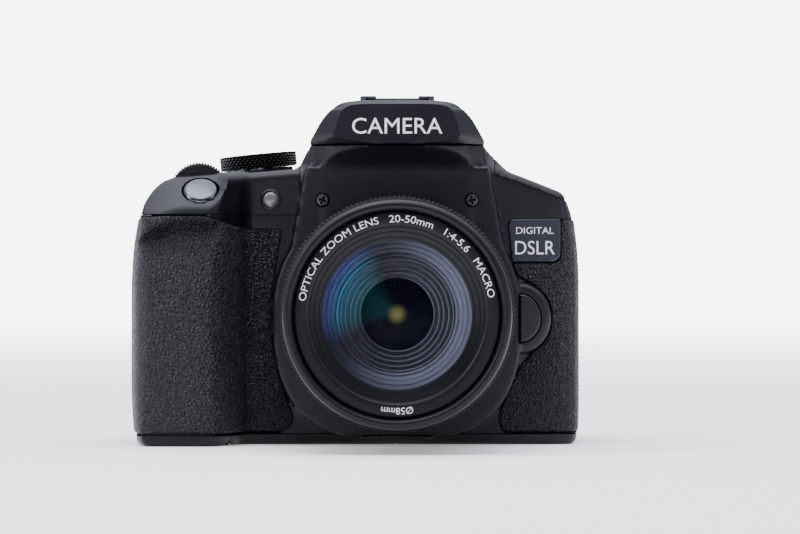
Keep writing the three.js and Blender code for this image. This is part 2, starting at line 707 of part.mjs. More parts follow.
function makeFittings() {
  const half = [
    [SHOE_HALF, SHOE_BASE_Z],
    [SHOE_HALF, SHOE_BASE_Z + SHOE_HEIGHT],
    [SHOE_MOUTH_HALF, SHOE_BASE_Z + SHOE_HEIGHT],
    [SHOE_MOUTH_HALF, SHOE_BASE_Z + SHOE_HEIGHT - 0.7],
    [SHOE_SLOT_HALF, SHOE_BASE_Z + SHOE_HEIGHT - 0.7],
    [SHOE_SLOT_HALF, SHOE_BASE_Z + 0.7],
  ];
  piece("hot_shoe", alongY(mirrored(half), ...SHOE_Y), "steel");
  setPiece("tripod_socket", ring(SOCKET_BORE_R, SOCKET_R, 0, BASE_BAND), "steel", SOCKET_AT);
  piece("body_mount_ring", aroundAxis([[MOUNT_R, NOSE_Y - GAP], [31.5, NOSE_Y - GAP], [31.5, FLANGE_Y], [MOUNT_R, FLANGE_Y]]), "steel");

  const cup = cut(
    alongY(eyeOutline(17, 12, 5), REAR_Y + 1.8 + GAP, REAR_Y + 8.2),
    alongY(eyeOutline(12, 8, 3), REAR_Y, REAR_Y + 12),
  );
  piece("eyecup", cup, "rubber");
  piece("eyepiece_lens", alongY(eyeOutline(10.6, 7.1, 2), REAR_Y - 2.5, REAR_Y + 0.5), "glass");
}

// ---------------------------------------------------------------- inside the body

const MIRROR_PIVOT = [0, -10, AXIS_Z + 11.5];
const MIRROR_LENGTH = 27;

function makeInside() {
  const outer = block([-20, 20], [NOSE_Y + 4, -8], [AXIS_Z - 17, AXIS_Z + 17]);
  const inner = block([-18, 18], [NOSE_Y, 0], [AXIS_Z - 15, AXIS_Z + 15]);
  const screenHole = block([-14, 14], [NOSE_Y + 9, -11], [AXIS_Z + 14, AXIS_Z + 20]);
  piece("mirror_box", cut(outer, inner, screenHole), "shell");

  const gate = cut(
    block([-20, 20], [-7.6, -3.4], [AXIS_Z - 17, AXIS_Z + 17]),
    block([-12.2, 12.2], [-9, 0], [AXIS_Z - 8.2, AXIS_Z + 8.2]),
  );
  piece("shutter_unit", gate, "blackMetal");
  piece("image_sensor", block([-15, 15], [-2.6, 0], [AXIS_Z - 12, AXIS_Z + 12]), "glass");
  const prism = [
    [NOSE_Y + 10, AXIS_Z + 18],
    [-8, AXIS_Z + 18],
    [-1, AXIS_Z + 31],
    [-1, SHOULDER_Z + 12],
    [FLASH_REAR_Y + 6, SHOULDER_Z + 12],
    [FLASH_REAR_Y + 5, SHOULDER_Z + 1],
    [NOSE_Y + 10, SHOULDER_Z - 4],
  ];
  piece("pentamirror", alongX(prism, -16, 16), "glass");
  const cell = [LEFT + 6.5, LEFT + 20.5];
  piece("battery_pack", block(cell, [GRIP_Y + 12, GRIP_Y + 45], [BASE_BAND + 2, BASE_BAND + 51.4]), "button");

  const plate = block([-13, 13], [-MIRROR_LENGTH, 0], [-0.9, 0.9]);
  setPiece("reflex_mirror", plate, "glass", MIRROR_PIVOT, [45, 0, 0]);
}

// ---------------------------------------------------------------- controls on the body

function makeControls() {
  for (const [name, x, z, r] of REAR_BUTTONS) setPiece(name, button(r), "button", [x, REAR_Y, z], TO_REAR);

  const dial = ring(SET_R + 0.4, QUICK_DIAL_R, GAP, 2.1);
  setPiece("quick_dial", dial, "button", [QUICK_X, REAR_Y, QUICK_Z], TO_REAR);
  setPiece("set_button", button(SET_R), "button", [QUICK_X, REAR_Y, QUICK_Z], TO_REAR);

  const cap = turned(
    [[0, -BUTTON_DEPTH], [SHUTTER_R, -BUTTON_DEPTH], [SHUTTER_R, 0.7], [SHUTTER_R - 0.8, 1.5], [0, 1.9]], 32);
  setPiece("shutter_button", cap, "grey", SHUTTER_AT, shutterTurn);
  const wheel = bar(MAIN_DIAL_R, -MAIN_DIAL_HALF, MAIN_DIAL_HALF, 36);
  setPiece("main_dial", wheel, "button", MAIN_DIAL_AT, TO_FRONT);

  const bottom = GAP + LEVER_THICK + GAP;
  const knob = join(bar(DIAL_R, bottom, bottom + MODE_DIAL_HEIGHT, 48), bar(SHAFT_R, -5, bottom + 1, 20));
  setPiece("mode_dial", knob, "button", MODE_DIAL_AT, modeTurn);
  const tab = block([-2, 2], [-DIAL_R - 2.6, -7], [GAP, GAP + LEVER_THICK]);
  const lever = cut(join(bar(DIAL_R - 1.4, GAP, GAP + LEVER_THICK, 32), tab), bar(SHAFT_R + GAP, -5, 5, 20));
  setPiece("power_switch", lever, "button", MODE_DIAL_AT, modeTurn);
  setPiece("iso_button", button(2.4), "button", ISO_AT);

  const releaseCap = alongY(releaseOutline(RELEASE_R, RELEASE_X), RELEASE_Y - 0.6, RELEASE_Y + 4.4);
  piece("lens_release_button", releaseCap, "button");
  setPiece("depth_preview_button", button(2.3), "button", PREVIEW_AT, previewTurn);

  const wheelKnob = bar(KNOB_R, -1.9, 1.9, 24);
  setPiece("diopter_knob", wheelKnob, "button", KNOB_AT, [0, 90, 0]);
}

function makeFlash() {
  const seat = SHOULDER_Z + FLASH_FLOOR + GAP;
  const back = FLASH_REAR_Y - GAP / 2;
  const profile = [
    [LIP_Y - 1, seat, 1],
    [back, seat],
    [back, HUMP_TOP],
    [LIP_Y + 7, HUMP_TOP - 0.3, 4],
    [LIP_Y + 0.8, HUMP_TOP - 1.7, 2],
  ];
  const half = [
    [25.2, seat],
    [25.4, seat + 0.6, 1],
    [21.4, HUMP_TOP - 4.7, 2],
    [16.8, HUMP_TOP - 0.7, 2],
    [10.5, HUMP_TOP],
  ];
  const plan = browPlan(LIP_Y - 1).reverse().map(([x, y, soft]) => [-x, y, soft]);
  const cap = common(
    alongX(profile, -32, 32),
    alongY(mirrored(half), LIP_Y - 5, back),
    alongZ(plan, seat, HUMP_TOP + 1),
  );
  const well = block([-18, 18], [LIP_Y + 4.5, back - WALL], [seat - 1, HUMP_TOP - 3]);
  piece("flash_head", cut(cap, well), "shell");
  const pane = block([-18 + GAP, 18 - GAP], [LIP_Y + 4.5 + GAP, LIP_Y + 17], [seat + 0.4, seat + 6]);
  piece("flash_window", pane, "glass");
}

function makeScreen() {
  const outer = REAR_Y + 2;
  const tall = [SCREEN_FOOT_Z, SCREEN_TOP_Z];
  const barrel = placed(bar(HINGE_R, SCREEN_FOOT_Z + 3, SCREEN_TOP_Z - 3, 20), [HINGE_X, HINGE_Y, 0]);
  const arm = block([SCREEN_RIGHT + GAP, HINGE_X], [SCREEN_Y + 1, HINGE_Y + 1.6], [SCREEN_FOOT_Z + 12, SCREEN_TOP_Z - 12]);
  piece("screen_hinge", join(barrel, arm), "shell");
  const panel = [
    [SCREEN_LEFT, tall[0], 3],
    [SCREEN_RIGHT, tall[0], 2],
    [SCREEN_RIGHT, tall[1], 2],
    [SCREEN_LEFT, tall[1], 3],
  ];
  const bezel = 2.5;
  const window = inset(panel, bezel);
  const housing = cut(alongY(panel, SCREEN_Y, outer, 3), alongY(window, outer - 1.4, outer + 2, 3));
  piece("screen_housing", housing, "shell");
  piece("screen_glass", alongY(inset(window, GAP), outer - 1.4 + GAP, outer, 3), "glass");
}

function makeDoors() {
  const flush = cut(mainBlock(0), mainBlock(SIDE_DOOR_THICK));
  piece("terminal_cover", common(flush, sideOpening(1, PORT_Y, PORT_Z, 0)), "rubber");
  piece("card_door", common(flush, sideOpening(-1, CARD_Y, CARD_Z, 0)), "shell");
  const slot = block(
    [LATCH_AT[0] - LATCH_HALF - GAP, LATCH_AT[0] + LATCH_HALF + GAP],
    [LATCH_AT[1] - LATCH_HALF - LATCH_TRAVEL - GAP, LATCH_AT[1] + LATCH_HALF + GAP],
    [-1, DOOR_THICK + 1],
  );
  const door = block(DOOR_X, DOOR_Y, [DOOR_LIFT, DOOR_LIFT + DOOR_THICK]);
  piece("battery_door", cut(door, slot), "shell");
  const latch = block(
    [LATCH_AT[0] - LATCH_HALF, LATCH_AT[0] + LATCH_HALF],
    [LATCH_AT[1] - LATCH_HALF, LATCH_AT[1] + LATCH_HALF],
    [DOOR_LIFT, DOOR_LIFT + DOOR_THICK],
  );
  piece("battery_latch", latch, "button");
}

// ---------------------------------------------------------------- lens

const ZOOM_REAR_Y = FLANGE_Y - 13.6;
const HEAD_REAR_Y = FLANGE_Y - 40.9; // back of the moving front part
const FOCUS_Y = [HEAD_REAR_Y - 1.8, HEAD_REAR_Y - 10.4];
const SHELF_Y = FRONT_Y + 7.8; // seat of the name ring

function makeLens() {
  const fixed = [
    [22, FLANGE_Y + 4.8],
    [MOUNT_R - 0.4, FLANGE_Y + 4.8],
    [MOUNT_R - 0.4, FLANGE_Y - GAP],
    [LENS_R - 1.2, FLANGE_Y - GAP],
    [LENS_R - 0.6, ZOOM_REAR_Y + GAP],
    [GUIDE_R, ZOOM_REAR_Y + GAP],
    [GUIDE_R, HEAD_REAR_Y + 0.9],
    [TUBE_R + 0.4, HEAD_REAR_Y + 0.9],
    [TUBE_R + 0.4, ZOOM_REAR_Y],
    [24, FLANGE_Y - 6],
    [22, FLANGE_Y],
  ];
  const switchSlots = SWITCHES.map(([, z]) =>
    block([LENS_R - 2, LENS_R + 5], [SWITCH_Y[0] - GAP, SWITCH_Y[1] + GAP], [z - GAP, z + SWITCH_LENGTH + SWITCH_TRAVEL + GAP]));
  piece("lens_barrel", cut(aroundAxis(fixed), ...switchSlots), "shell");
  for (const [name, z] of SWITCHES)
    piece(name, block([LENS_R - 2 + GAP, LENS_R - 0.1], SWITCH_Y, [z, z + SWITCH_LENGTH]), "button");

  const zoom = [[GUIDE_R + 0.4, ZOOM_REAR_Y], [LENS_R, ZOOM_REAR_Y], [LENS_R, HEAD_REAR_Y + 0.6], [GUIDE_R + 0.4, HEAD_REAR_Y + 0.6]];
  piece("zoom_ring", aroundAxis(zoom), "rubber");

  const seat = LENS_R - 3;
  const rim = LENS_R - 1.5;
  const moving = [
    [TUBE_R - TUBE_WALL, FLANGE_Y - 20],
    [TUBE_R, FLANGE_Y - 20],
    [TUBE_R, HEAD_REAR_Y],
    [rim, HEAD_REAR_Y],
    [rim, FOCUS_Y[0] + GAP],
    [seat, FOCUS_Y[0] + GAP],
    [seat, FOCUS_Y[1] - GAP],
    [rim, FOCUS_Y[1] - GAP],
    [rim, FRONT_Y + 1],
    [rim - 0.8, FRONT_Y],
    [THREAD_R, FRONT_Y],
    [THREAD_R, SHELF_Y],
    [TUBE_R - TUBE_WALL, SHELF_Y],
  ];
  piece("front_barrel", aroundAxis(moving), "shell");
  piece("focus_ring", aroundAxis([[seat + GAP, FOCUS_Y[0]], [LENS_R - 0.9, FOCUS_Y[0]], [LENS_R - 0.9, FOCUS_Y[1]], [seat + GAP, FOCUS_Y[1]]]), "rubber");

  const name = [
    [THREAD_R - GAP, SHELF_Y - GAP],
    [THREAD_R - GAP, SHELF_Y - 3.2],
    [GLASS_R + 0.8, SHELF_Y - 3],
    [GLASS_R - 2.8, SHELF_Y - 0.6],
    [GLASS_R - 2.8, SHELF_Y - GAP],
  ];
  piece("name_ring", aroundAxis(name), "shell");
  const glass = [
    [0, SHELF_Y + 5.6],
    [GLASS_R, SHELF_Y + 4.4],
    [GLASS_R, SHELF_Y + 0.1],
    [GLASS_R - 3.4, SHELF_Y - 0.2],
    [GLASS_R / 2, SHELF_Y - 1.7],
    [0, SHELF_Y - 2.2],
  ];
  piece("front_element", aroundAxis(glass, 40), "glass");
  const iris = [[6, HEAD_REAR_Y + 5], [TUBE_R - TUBE_WALL - GAP, HEAD_REAR_Y + 5], [TUBE_R - TUBE_WALL - GAP, HEAD_REAR_Y + 8], [6, HEAD_REAR_Y + 8]];
  piece("iris_unit", aroundAxis(iris, 32), "blackMetal");
}

const SWITCH_Y = [FLANGE_Y - 9, FLANGE_Y - 5.6];
const SWITCH_LENGTH = 2.6;
const SWITCH_TRAVEL = 2;
const SWITCHES = [["focus_mode_switch", AXIS_Z + 1.4], ["stabilizer_switch", AXIS_Z - 6]];

makeCovers();
makeTrim();
makeFittings();
makeInside();
makeControls();
makeFlash();
makeScreen();
makeDoors();
makeLens();

export default camera;
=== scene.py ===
"""Looks of a digital single-lens reflex camera with a standard zoom lens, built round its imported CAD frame.

Lengths in the shape functions are millimetres. +X is to the right when facing the lens, +Y runs from the lens
to the back, +Z is up, and the origin is on the base under the optical axis, in the plane of the image sensor.
"""

import bmesh
import bpy
import numpy as np
from bpy.props import FloatProperty, FloatVectorProperty, IntProperty, PointerProperty
from mathutils import Euler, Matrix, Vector


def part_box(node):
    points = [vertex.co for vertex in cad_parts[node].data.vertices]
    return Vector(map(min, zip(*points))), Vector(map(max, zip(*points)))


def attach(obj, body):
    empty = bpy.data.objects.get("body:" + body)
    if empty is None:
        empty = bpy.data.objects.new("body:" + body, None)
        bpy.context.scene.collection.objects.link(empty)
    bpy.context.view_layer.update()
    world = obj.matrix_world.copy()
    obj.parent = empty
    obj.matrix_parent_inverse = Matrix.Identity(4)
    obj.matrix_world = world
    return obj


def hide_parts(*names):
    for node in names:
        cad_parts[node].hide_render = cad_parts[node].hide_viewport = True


bl_info = {
    "name": "Reflex camera looks",
    "version": (1, 0, 0),
    "blender": (4, 5, 0),
    "location": "View3D > Sidebar > Camera",
    "description": "Builds the visible pieces of a reflex camera round its packed frame",
    "category": "Add Mesh",
}

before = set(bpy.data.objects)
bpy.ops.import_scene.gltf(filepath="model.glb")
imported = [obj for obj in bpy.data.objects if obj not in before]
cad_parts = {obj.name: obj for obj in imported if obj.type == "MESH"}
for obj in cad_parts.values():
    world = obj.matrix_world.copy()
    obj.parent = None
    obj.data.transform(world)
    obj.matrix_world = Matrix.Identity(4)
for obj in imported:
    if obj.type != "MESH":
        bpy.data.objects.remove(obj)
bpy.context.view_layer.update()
MM = 0.001


def span(node):
    """Lowest and highest corners of a CAD node, in millimetres."""
    low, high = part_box(node)
    return np.array(low) / MM, np.array(high) / MM


def linear(code):
    """Linear colour of an sRGB code: a channel up to 0.04045 over 12.92, else ((c + 0.055) / 1.055) **
    2.4."""
    c = np.array([int(code[i : i + 2], 16) for i in (1, 3, 5)]) / 255
    return tuple(np.where(c <= 0.04045, c / 12.92, ((c + 0.055) / 1.055) ** 2.4).tolist())


# ---------------------------------------------------------------- places read from the frame

FRONT_LOW, FRONT_HIGH = span("front_cover")
ZOOM_LOW, ZOOM_HIGH = span("zoom_ring")
BASE_LOW, BASE_HIGH = span("bottom_cover")
TOP_LOW, TOP_HIGH = span("top_cover")
REAR_LOW, REAR_HIGH = span("rear_cover")
FLASH_LOW, FLASH_HIGH = span("flash_head")
SCREEN_LOW, SCREEN_HIGH = span("screen_housing")
MOUNT_LOW, MOUNT_HIGH = span("body_mount_ring")
HEAD_LOW, HEAD_HIGH = span("front_barrel")

AXIS_Z = (ZOOM_LOW[2] + ZOOM_HIGH[2]) / 2
LEFT, RIGHT = FRONT_LOW[0], FRONT_HIGH[0]
# The shoulders' and the flash's heights, the planes of the front panel and of the back, the grip's front and
# middle, the mount housing's front and the mount's face, the lens's front rim, the split between front and
# rear covers, the top cover's seam on the grip's side, the base cover's, and the flash head's back and seat.
SHOULDER = AXIS_Z + 41.3
HUMP_TOP = FLASH_HIGH[2]
PANEL = -30.0
REAR = REAR_HIGH[1] - 1.8
GRIP_FRONT = FRONT_LOW[1]
GRIP_MID = LEFT + 20.7
NOSE_FRONT = MOUNT_HIGH[1] + 0.3
FLANGE = MOUNT_LOW[1]
LENS_FRONT = HEAD_LOW[1]
SPLIT = FRONT_HIGH[1] + 0.15
SEAM = SHOULDER - 12.8
BASE = BASE_HIGH[2]
FLASH_BACK = FLASH_HIGH[1] + 0.15
FLASH_SEAT = FLASH_LOW[2] - 0.3


# ---------------------------------------------------------------- fields


class Points:
    """Places to work a field out at: three arrays that broadcast, and whether slopes are wanted."""

    def __init__(self, x, y, z, slopes=False):
        self.axes = (x, y, z)
        self.slopes = slopes


class Field:
    """A signed distance, below zero inside, and its slope along the three axes where it is wanted."""

    def __init__(self, d, g=None):
        self.d = d
        self.g = g

    def __neg__(self):
        return Field(-self.d, None if self.g is None else -self.g)

    def taken_in(self, by):
        return Field(self.d + by, self.g)


def both(a, b, r=0.0):
    """Inside both: the larger distance. Within r of both walls the crest is an arc of radius r."""
    g = None
    if a.g is not None:
        g = np.where(a.d > b.d, a.g, b.g)
    d = np.maximum(a.d, b.d)
    if np.any(r):
        u, v = a.d + r, b.d + r
        crest = (u > 0) & (v > 0)
        h = np.hypot(u, v)
        d = np.where(crest, h - r, d)
        if g is not None:
            g = np.where(crest, (u * a.g + v * b.g) / np.maximum(h, 1e-9), g)
    return Field(d, g)


def all_of(first, *others, r=0.0):
    """Inside every one of them."""
    for other in others:
        first = both(first, other, r)
    return first


def either(a, b, r=0.0):
    """Inside one or the other, with a hollow fillet of radius r where they meet."""
    return -both(-a, -b, r)


def without(a, *holes, r=0.0):
    """Inside the first and outside every hole."""
    for hole in holes:
        a = both(a, -hole, r)
    return a


def rounded(corners, steps=7):
    """A closed outline of [x, y, softness] corners, each a parabola that starts its softness away."""
    p = np.array([[c[0], c[1], c[2] if len(c) > 2 else 0] for c in corners], float)
    xy, soft = p[:, :2], p[:, 2:]
    before, after = np.roll(xy, 1, 0), np.roll(xy, -1, 0)

    def toward(other):
        reach = np.linalg.norm(other - xy, axis=1, keepdims=True)
        return xy + (other - xy) * np.minimum(soft, 0.48 * reach) / reach

    start, end = toward(before), toward(after)
    t = np.linspace(0, 1, steps)[:, None, None]
    curve = (1 - t) ** 2 * start + 2 * t * (1 - t) * xy + t**2 * end
    points = curve.transpose(1, 0, 2).reshape(-1, 2)
    keep = np.linalg.norm(points - np.roll(points, 1, 0), axis=1) > 1e-6
    return points[keep]


def mirrored(half):
    """Half an outline, then its mirror image in X from the end back."""
    return list(half) + [[-c[0], *c[1:]] for c in reversed(half)]


class Outline:
    """Distance to a closed outline, worked out once on a fine grid. The distance is to the nearest side, with
    the point projected on it and held between its ends; an odd count of sides crossed on the way right means
    inside."""

    STEP = 0.3
    MARGIN = 7.0

    def __init__(self, corners, steps=7):
        a = rounded(corners, steps)
        b = np.roll(a, -1, 0)
        self.points = a
        self.low = a.min(0) - self.MARGIN
        count = np.ceil((a.max(0) + self.MARGIN - self.low) / self.STEP).astype(int) + 1
        u, v = [self.low[k] + self.STEP * np.arange(count[k]) for k in (0, 1)]
        table = []
        e = b - a
        for row in u:
            w = np.stack([row - a[:, 0] + 0 * v[:, None], v[:, None] - a[:, 1]], -1)
            t = np.clip((w * e).sum(-1) / (e * e).sum(-1), 0, 1)
            away = w - t[..., None] * e
            far = (away**2).sum(-1)
            k = far.argmin(1)
            near = away[np.arange(len(v)), k]
            straddles = (a[:, 1] > v[:, None]) != (b[:, 1] > v[:, None])
            rise = np.where(np.abs(e[:, 1]) < 1e-12, 1e-12, e[:, 1])
            crossing = a[:, 0] + (v[:, None] - a[:, 1]) * e[:, 0] / rise
            sign = np.where((straddles & (crossing > row)).sum(1) % 2, -1.0, 1.0)
            d = np.sqrt(far[np.arange(len(v)), k])
            table.append(np.stack([sign * d, *(sign[:, None] * near / np.maximum(d, 1e-9)[:, None]).T]))
        self.table = np.stack(table, 1)

    def at(self, u, v, slopes):
        """Bilinear reading of the table; past its edge the distance past the edge is added."""
        _, nu, nv = self.table.shape
        u, v = np.broadcast_arrays(u, v)
        fu = np.clip((u - self.low[0]) / self.STEP, 0, nu - 1.001)
        fv = np.clip((v - self.low[1]) / self.STEP, 0, nv - 1.001)
        i, j = fu.astype(int), fv.astype(int)
        s, t = fu - i, fv - j
        over = np.hypot(u - self.low[0] - fu * self.STEP, v - self.low[1] - fv * self.STEP)
        parts = self.table if slopes else self.table[:1]
        read = [
            (1 - s) * ((1 - t) * p[i, j] + t * p[i, j + 1])
            + s * ((1 - t) * p[i + 1, j] + t * p[i + 1, j + 1])
            for p in parts
        ]
        read[0] = read[0] + np.where(over > 1e-6, over, 0)
        return read


XZ, XY, YZ = (0, 2), (0, 1), (1, 2)


def along(at, outline, plane):
    """An outline carried without end along the axis that its plane leaves out."""
    i, j = plane
    read = outline.at(at.axes[i], at.axes[j], at.slopes)
    if not at.slopes:
        return Field(read[0])
    g = np.zeros((3,) + read[0].shape)
    length = np.maximum(np.hypot(read[1], read[2]), 1e-6)
    g[i], g[j] = read[1] / length, read[2] / length
    return Field(read[0], g)


def leaning(at, normal, through):
    """The space behind a plane: the distance along its normal from a point of it."""
    n = np.array(normal, float) / np.linalg.norm(normal)
    d = sum(n[k] * (at.axes[k] - through[k]) for k in range(3))
    return Field(d, np.broadcast_to(n[:, None], (3, np.size(d))) if at.slopes else None)


def up_to(at, axis, value):
    """Everything below a value on one axis."""
    normal = [0, 0, 0]
    normal[axis] = 1
    return leaning(at, normal, [value] * 3)


def past(at, axis, value):
    """Everything above a value on one axis."""
    return -up_to(at, axis, value)


def brick(at, *ranges, r=0.0):
    """A box between a low and a high value on each axis, its edges arcs of radius r."""
    made = None
    for axis, (low, high) in enumerate(ranges):
        both_ends = slab(at, axis, low, high)
        made = both_ends if made is None else both(made, both_ends, r)
    return made


def plain_box(low, high, r):
    """The field of a box between two corners, its edges arcs of radius r."""
    return lambda at: brick(at, *zip(low, high), r=r)


def slab(at, axis, low, high):
    """Everything between two values on one axis."""
    return both(past(at, axis, low), up_to(at, axis, high))


def rod(at, centre, direction, radius, ends=None, r=0.0):
    """A round bar: distance to its line less its radius, between two places along the line."""
    n = np.array(direction, float) / np.linalg.norm(direction)
    w = [at.axes[k] - centre[k] for k in range(3)]
    h = sum(n[k] * w[k] for k in range(3))
    off = [w[k] - n[k] * h for k in range(3)]
    d = np.sqrt(sum(o * o for o in off))
    g = None
    if at.slopes:
        g = np.stack([o / np.maximum(d, 1e-9) for o in off])
    made = Field(d - radius, g)
    if ends is None:
        return made
    axis = np.broadcast_to(n[:, None], (3, np.size(h))) if at.slopes else None
    middle, half = (ends[0] + ends[1]) / 2, (ends[1] - ends[0]) / 2
    side = np.where(h > middle, 1.0, -1.0)
    return both(made, Field(np.abs(h - middle) - half, None if axis is None else axis * side), r)


def drum(at, radius, ends=None, r=0.0):
    """A round bar about the optical axis, its ends counted forward from the sensor's plane."""
    return rod(at, (0, 0, AXIS_Z), (0, -1, 0), radius, ends, r)


def roof(at, xs, zs):
    """Everything above a line of heights over X, its distance shortened by the line's slope."""
    x, z = at.axes[0], at.axes[2]
    slope = np.interp(x, (np.array(xs[1:]) + np.array(xs[:-1])) / 2, np.diff(zs) / np.diff(xs))
    c = 1 / np.sqrt(1 + slope**2)
    d = (np.interp(x, xs, zs) - z) * c
    return Field(d, np.stack([slope * c, 0 * d, -c + 0 * d]) if at.slopes else None)


# ---------------------------------------------------------------- surfaces


def contour(field, low, high, step):
    """The surface where a field is zero. Space is cut in cubes of one step. Each cube edge with ends on
    different sides is crossed once, and the crossing is moved to the zero by false position. Each crossed
    cube gets the one point that lies best on the tangent planes at its crossings, which keeps edges crisp,
    and each crossed edge joins the points of its four cubes in a quad."""
    lowest, highest = np.array(low, float), np.array(high, float)
    low = lowest - 1.6 * step
    count = np.ceil((highest + 1.6 * step - low) / step).astype(int) + 1
    axes = [low[k] + step * np.arange(count[k]) for k in range(3)]
    grid = Points(axes[0][:, None, None], axes[1][None, :, None], axes[2][None, None, :])
    values = np.array(np.broadcast_to(field(grid).d, count))
    values[[0, -1]] = values[:, [0, -1]] = 1.0
    values[:, :, [0, -1]] = 1.0
    inside = values < 0
    stride = np.array([count[1] * count[2], count[2], 1])
    crossings, normals, owners, quads = [], [], [], []
    for axis in range(3):
        one, two = (axis + 1) % 3, (axis + 2) % 3
        first = [slice(None)] * 3
        second = [slice(None)] * 3
        first[axis], second[axis] = slice(None, -1), slice(1, None)
        edge = np.argwhere(inside[tuple(first)] != inside[tuple(second)])
        ahead = edge.copy()
        ahead[:, axis] += 1
        f0, f1 = values[tuple(edge.T)], values[tuple(ahead.T)]
        base = np.stack([axes[k][edge[:, k]] for k in range(3)])
        t0, t1 = np.zeros(len(edge)), np.ones(len(edge))
        outward = f1 > 0
        for _ in range(3):
            t = t0 + (t1 - t0) * np.clip(f0 / (f0 - f1), 0.03, 0.97)
            p = base.copy()
            p[axis] += t * step
            f = field(Points(*p)).d
            same = (f < 0) == (f0 < 0)
            t0, f0 = np.where(same, t, t0), np.where(same, f, f0)
            t1, f1 = np.where(same, t1, t), np.where(same, f1, f)
        t = t0 + (t1 - t0) * np.clip(f0 / (f0 - f1), 0, 1)
        p = base.copy()
        p[axis] += t * step
        g = field(Points(*p, slopes=True)).g
        g = g / np.maximum(np.linalg.norm(g, axis=0), 1e-9)
        cells = []
        for du, dv in ((-1, -1), (0, -1), (0, 0), (-1, 0)):
            c = edge.copy()
            c[:, one] += du
            c[:, two] += dv
            cells.append(c @ stride)
        cells = np.stack(cells, 1)
        quads.append(np.where(outward[:, None], cells, cells[:, ::-1]))
        crossings.append(np.tile(p, 4))
        normals.append(np.tile(g, 4))
        owners.append(cells.T.ravel())
    p, n, owner = np.hstack(crossings), np.hstack(normals), np.concatenate(owners)
    cubes, where = np.unique(owner, return_inverse=True)
    total = len(cubes)

    def gather(weights):
        return np.bincount(where, weights, total)

    seen = gather(np.ones(len(where)))
    mean = np.stack([gather(q) for q in p], 1) / seen[:, None]
    matrix = np.empty((total, 3, 3))
    for i in range(3):
        for j in range(3):
            matrix[:, i, j] = gather(n[i] * n[j])
    pull = (n * p).sum(0)
    right = np.stack([gather(q * pull) for q in n], 1) - (matrix @ mean[..., None])[..., 0]
    matrix += 0.04 * seen[:, None, None] * np.eye(3)
    points = mean + np.linalg.solve(matrix, right[..., None])[..., 0]
    corner = np.stack(np.unravel_index(cubes, count), 1) * step + low
    points = np.clip(np.clip(points, corner, corner + step), lowest, highest)
    return points, np.searchsorted(cubes, np.vstack(quads))


def wrapped(p, around_u=False, around_v=False):
    """Quads over a grid of points, closed on itself along either way."""
    nu, nv = p.shape[:2]
    index = np.arange(nu * nv).reshape(nu, nv)
    if around_u:
        index = np.vstack([index, index[:1]])
    if around_v:
        index = np.hstack([index, index[:, :1]])
    quads = np.stack([index[:-1, :-1], index[1:, :-1], index[1:, 1:], index[:-1, 1:]], -1)
    return p.reshape(-1, 3), quads.reshape(-1, 4)


def turned(profile, sides, cut=None, steps=4):
    """A closed profile of [radius, height, softness] corners turned about Z:
    x = r cos a, y = r sin a, z = height. cut(a, r, h) is taken off the radius."""
    outline = rounded(profile, steps)
    a = np.linspace(0, 2 * np.pi, sides, endpoint=False)[:, None]
    r, h = outline[:, 0][None, :] + 0 * a, outline[:, 1][None, :] + 0 * a
    if cut is not None:
        r = np.maximum(r - cut(a, r, h), 0)
    return wrapped(np.stack([r * np.cos(a), r * np.sin(a), h], -1), True, True)


def spun(profile, sides, cut=None, steps=4):
    """A closed profile of [radius, y, softness] corners turned about the optical axis."""
    points, quads = turned([[c[0], -c[1], *c[2:]] for c in profile], sides, cut, steps)
    return np.stack([points[:, 0], -points[:, 2], points[:, 1] + AXIS_Z], 1), quads


def put(shape, at=(0, 0, 0), turn=(0, 0, 0)):
    """A shape turned in degrees about X, then Y, then Z, and moved."""
    points, quads = shape
    matrix = np.array(Euler(np.radians(turn), "XYZ").to_matrix())
    return points @ matrix.T + np.array(at, float), quads


def together(*shapes):
    """Several shapes as one."""
    points, quads, start = [], [], 0
    for p, q in shapes:
        points.append(p)
        quads.append(q + start)
        start += len(p)
    return np.vstack(points), np.vstack(quads)


def build(name, shape, look, nodes, body, sharp, outward=False):
    """Puts a shape into a mesh, merges its doubled points, shades it smooth but for edges sharper than an
    angle, gives it its material and hangs it on its body."""
    points, quads = shape
    mesh = bpy.data.meshes.new(name)
    mesh.vertices.add(len(points))
    mesh.vertices.foreach_set("co", (points * MM).astype(np.float32).ravel())
    mesh.loops.add(quads.size)
    mesh.loops.foreach_set("vertex_index", quads.astype(np.int32).ravel())
    mesh.polygons.add(len(quads))
    mesh.polygons.foreach_set("loop_start", np.arange(0, quads.size, quads.shape[1], dtype=np.int32))
    mesh.update(calc_edges=True)
    if outward:
        made = bmesh.new()
        made.from_mesh(mesh)
        bmesh.ops.remove_doubles(made, verts=made.verts, dist=1e-7)
        bmesh.ops.recalc_face_normals(made, faces=made.faces)
        made.to_mesh(mesh)
        made.free()
    mesh.validate()
    mesh.polygons.foreach_set("use_smooth", np.ones(len(mesh.polygons), bool))
    mesh.set_sharp_from_angle(angle=np.radians(sharp))
    mesh.materials.append(LOOKS[look])
    piece = bpy.data.objects.new(name, mesh)
    bpy.context.scene.collection.objects.link(piece)
    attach(piece, body)
    if nodes:
        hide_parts(*nodes)


def carve(name, field, low, high, step, look, nodes=(), body="camera_body", sharp=38.0):
    """A piece from its field."""
    build(name, contour(field, low, high, step), look, nodes, body, sharp)


def lathe(name, shape, look, nodes=(), body="camera_body", sharp=30.0):
    """A piece from grids of points, which may have poles and either hand."""
    build(name, shape, look, nodes, body, sharp, outward=True)


# ---------------------------------------------------------------- the body's form

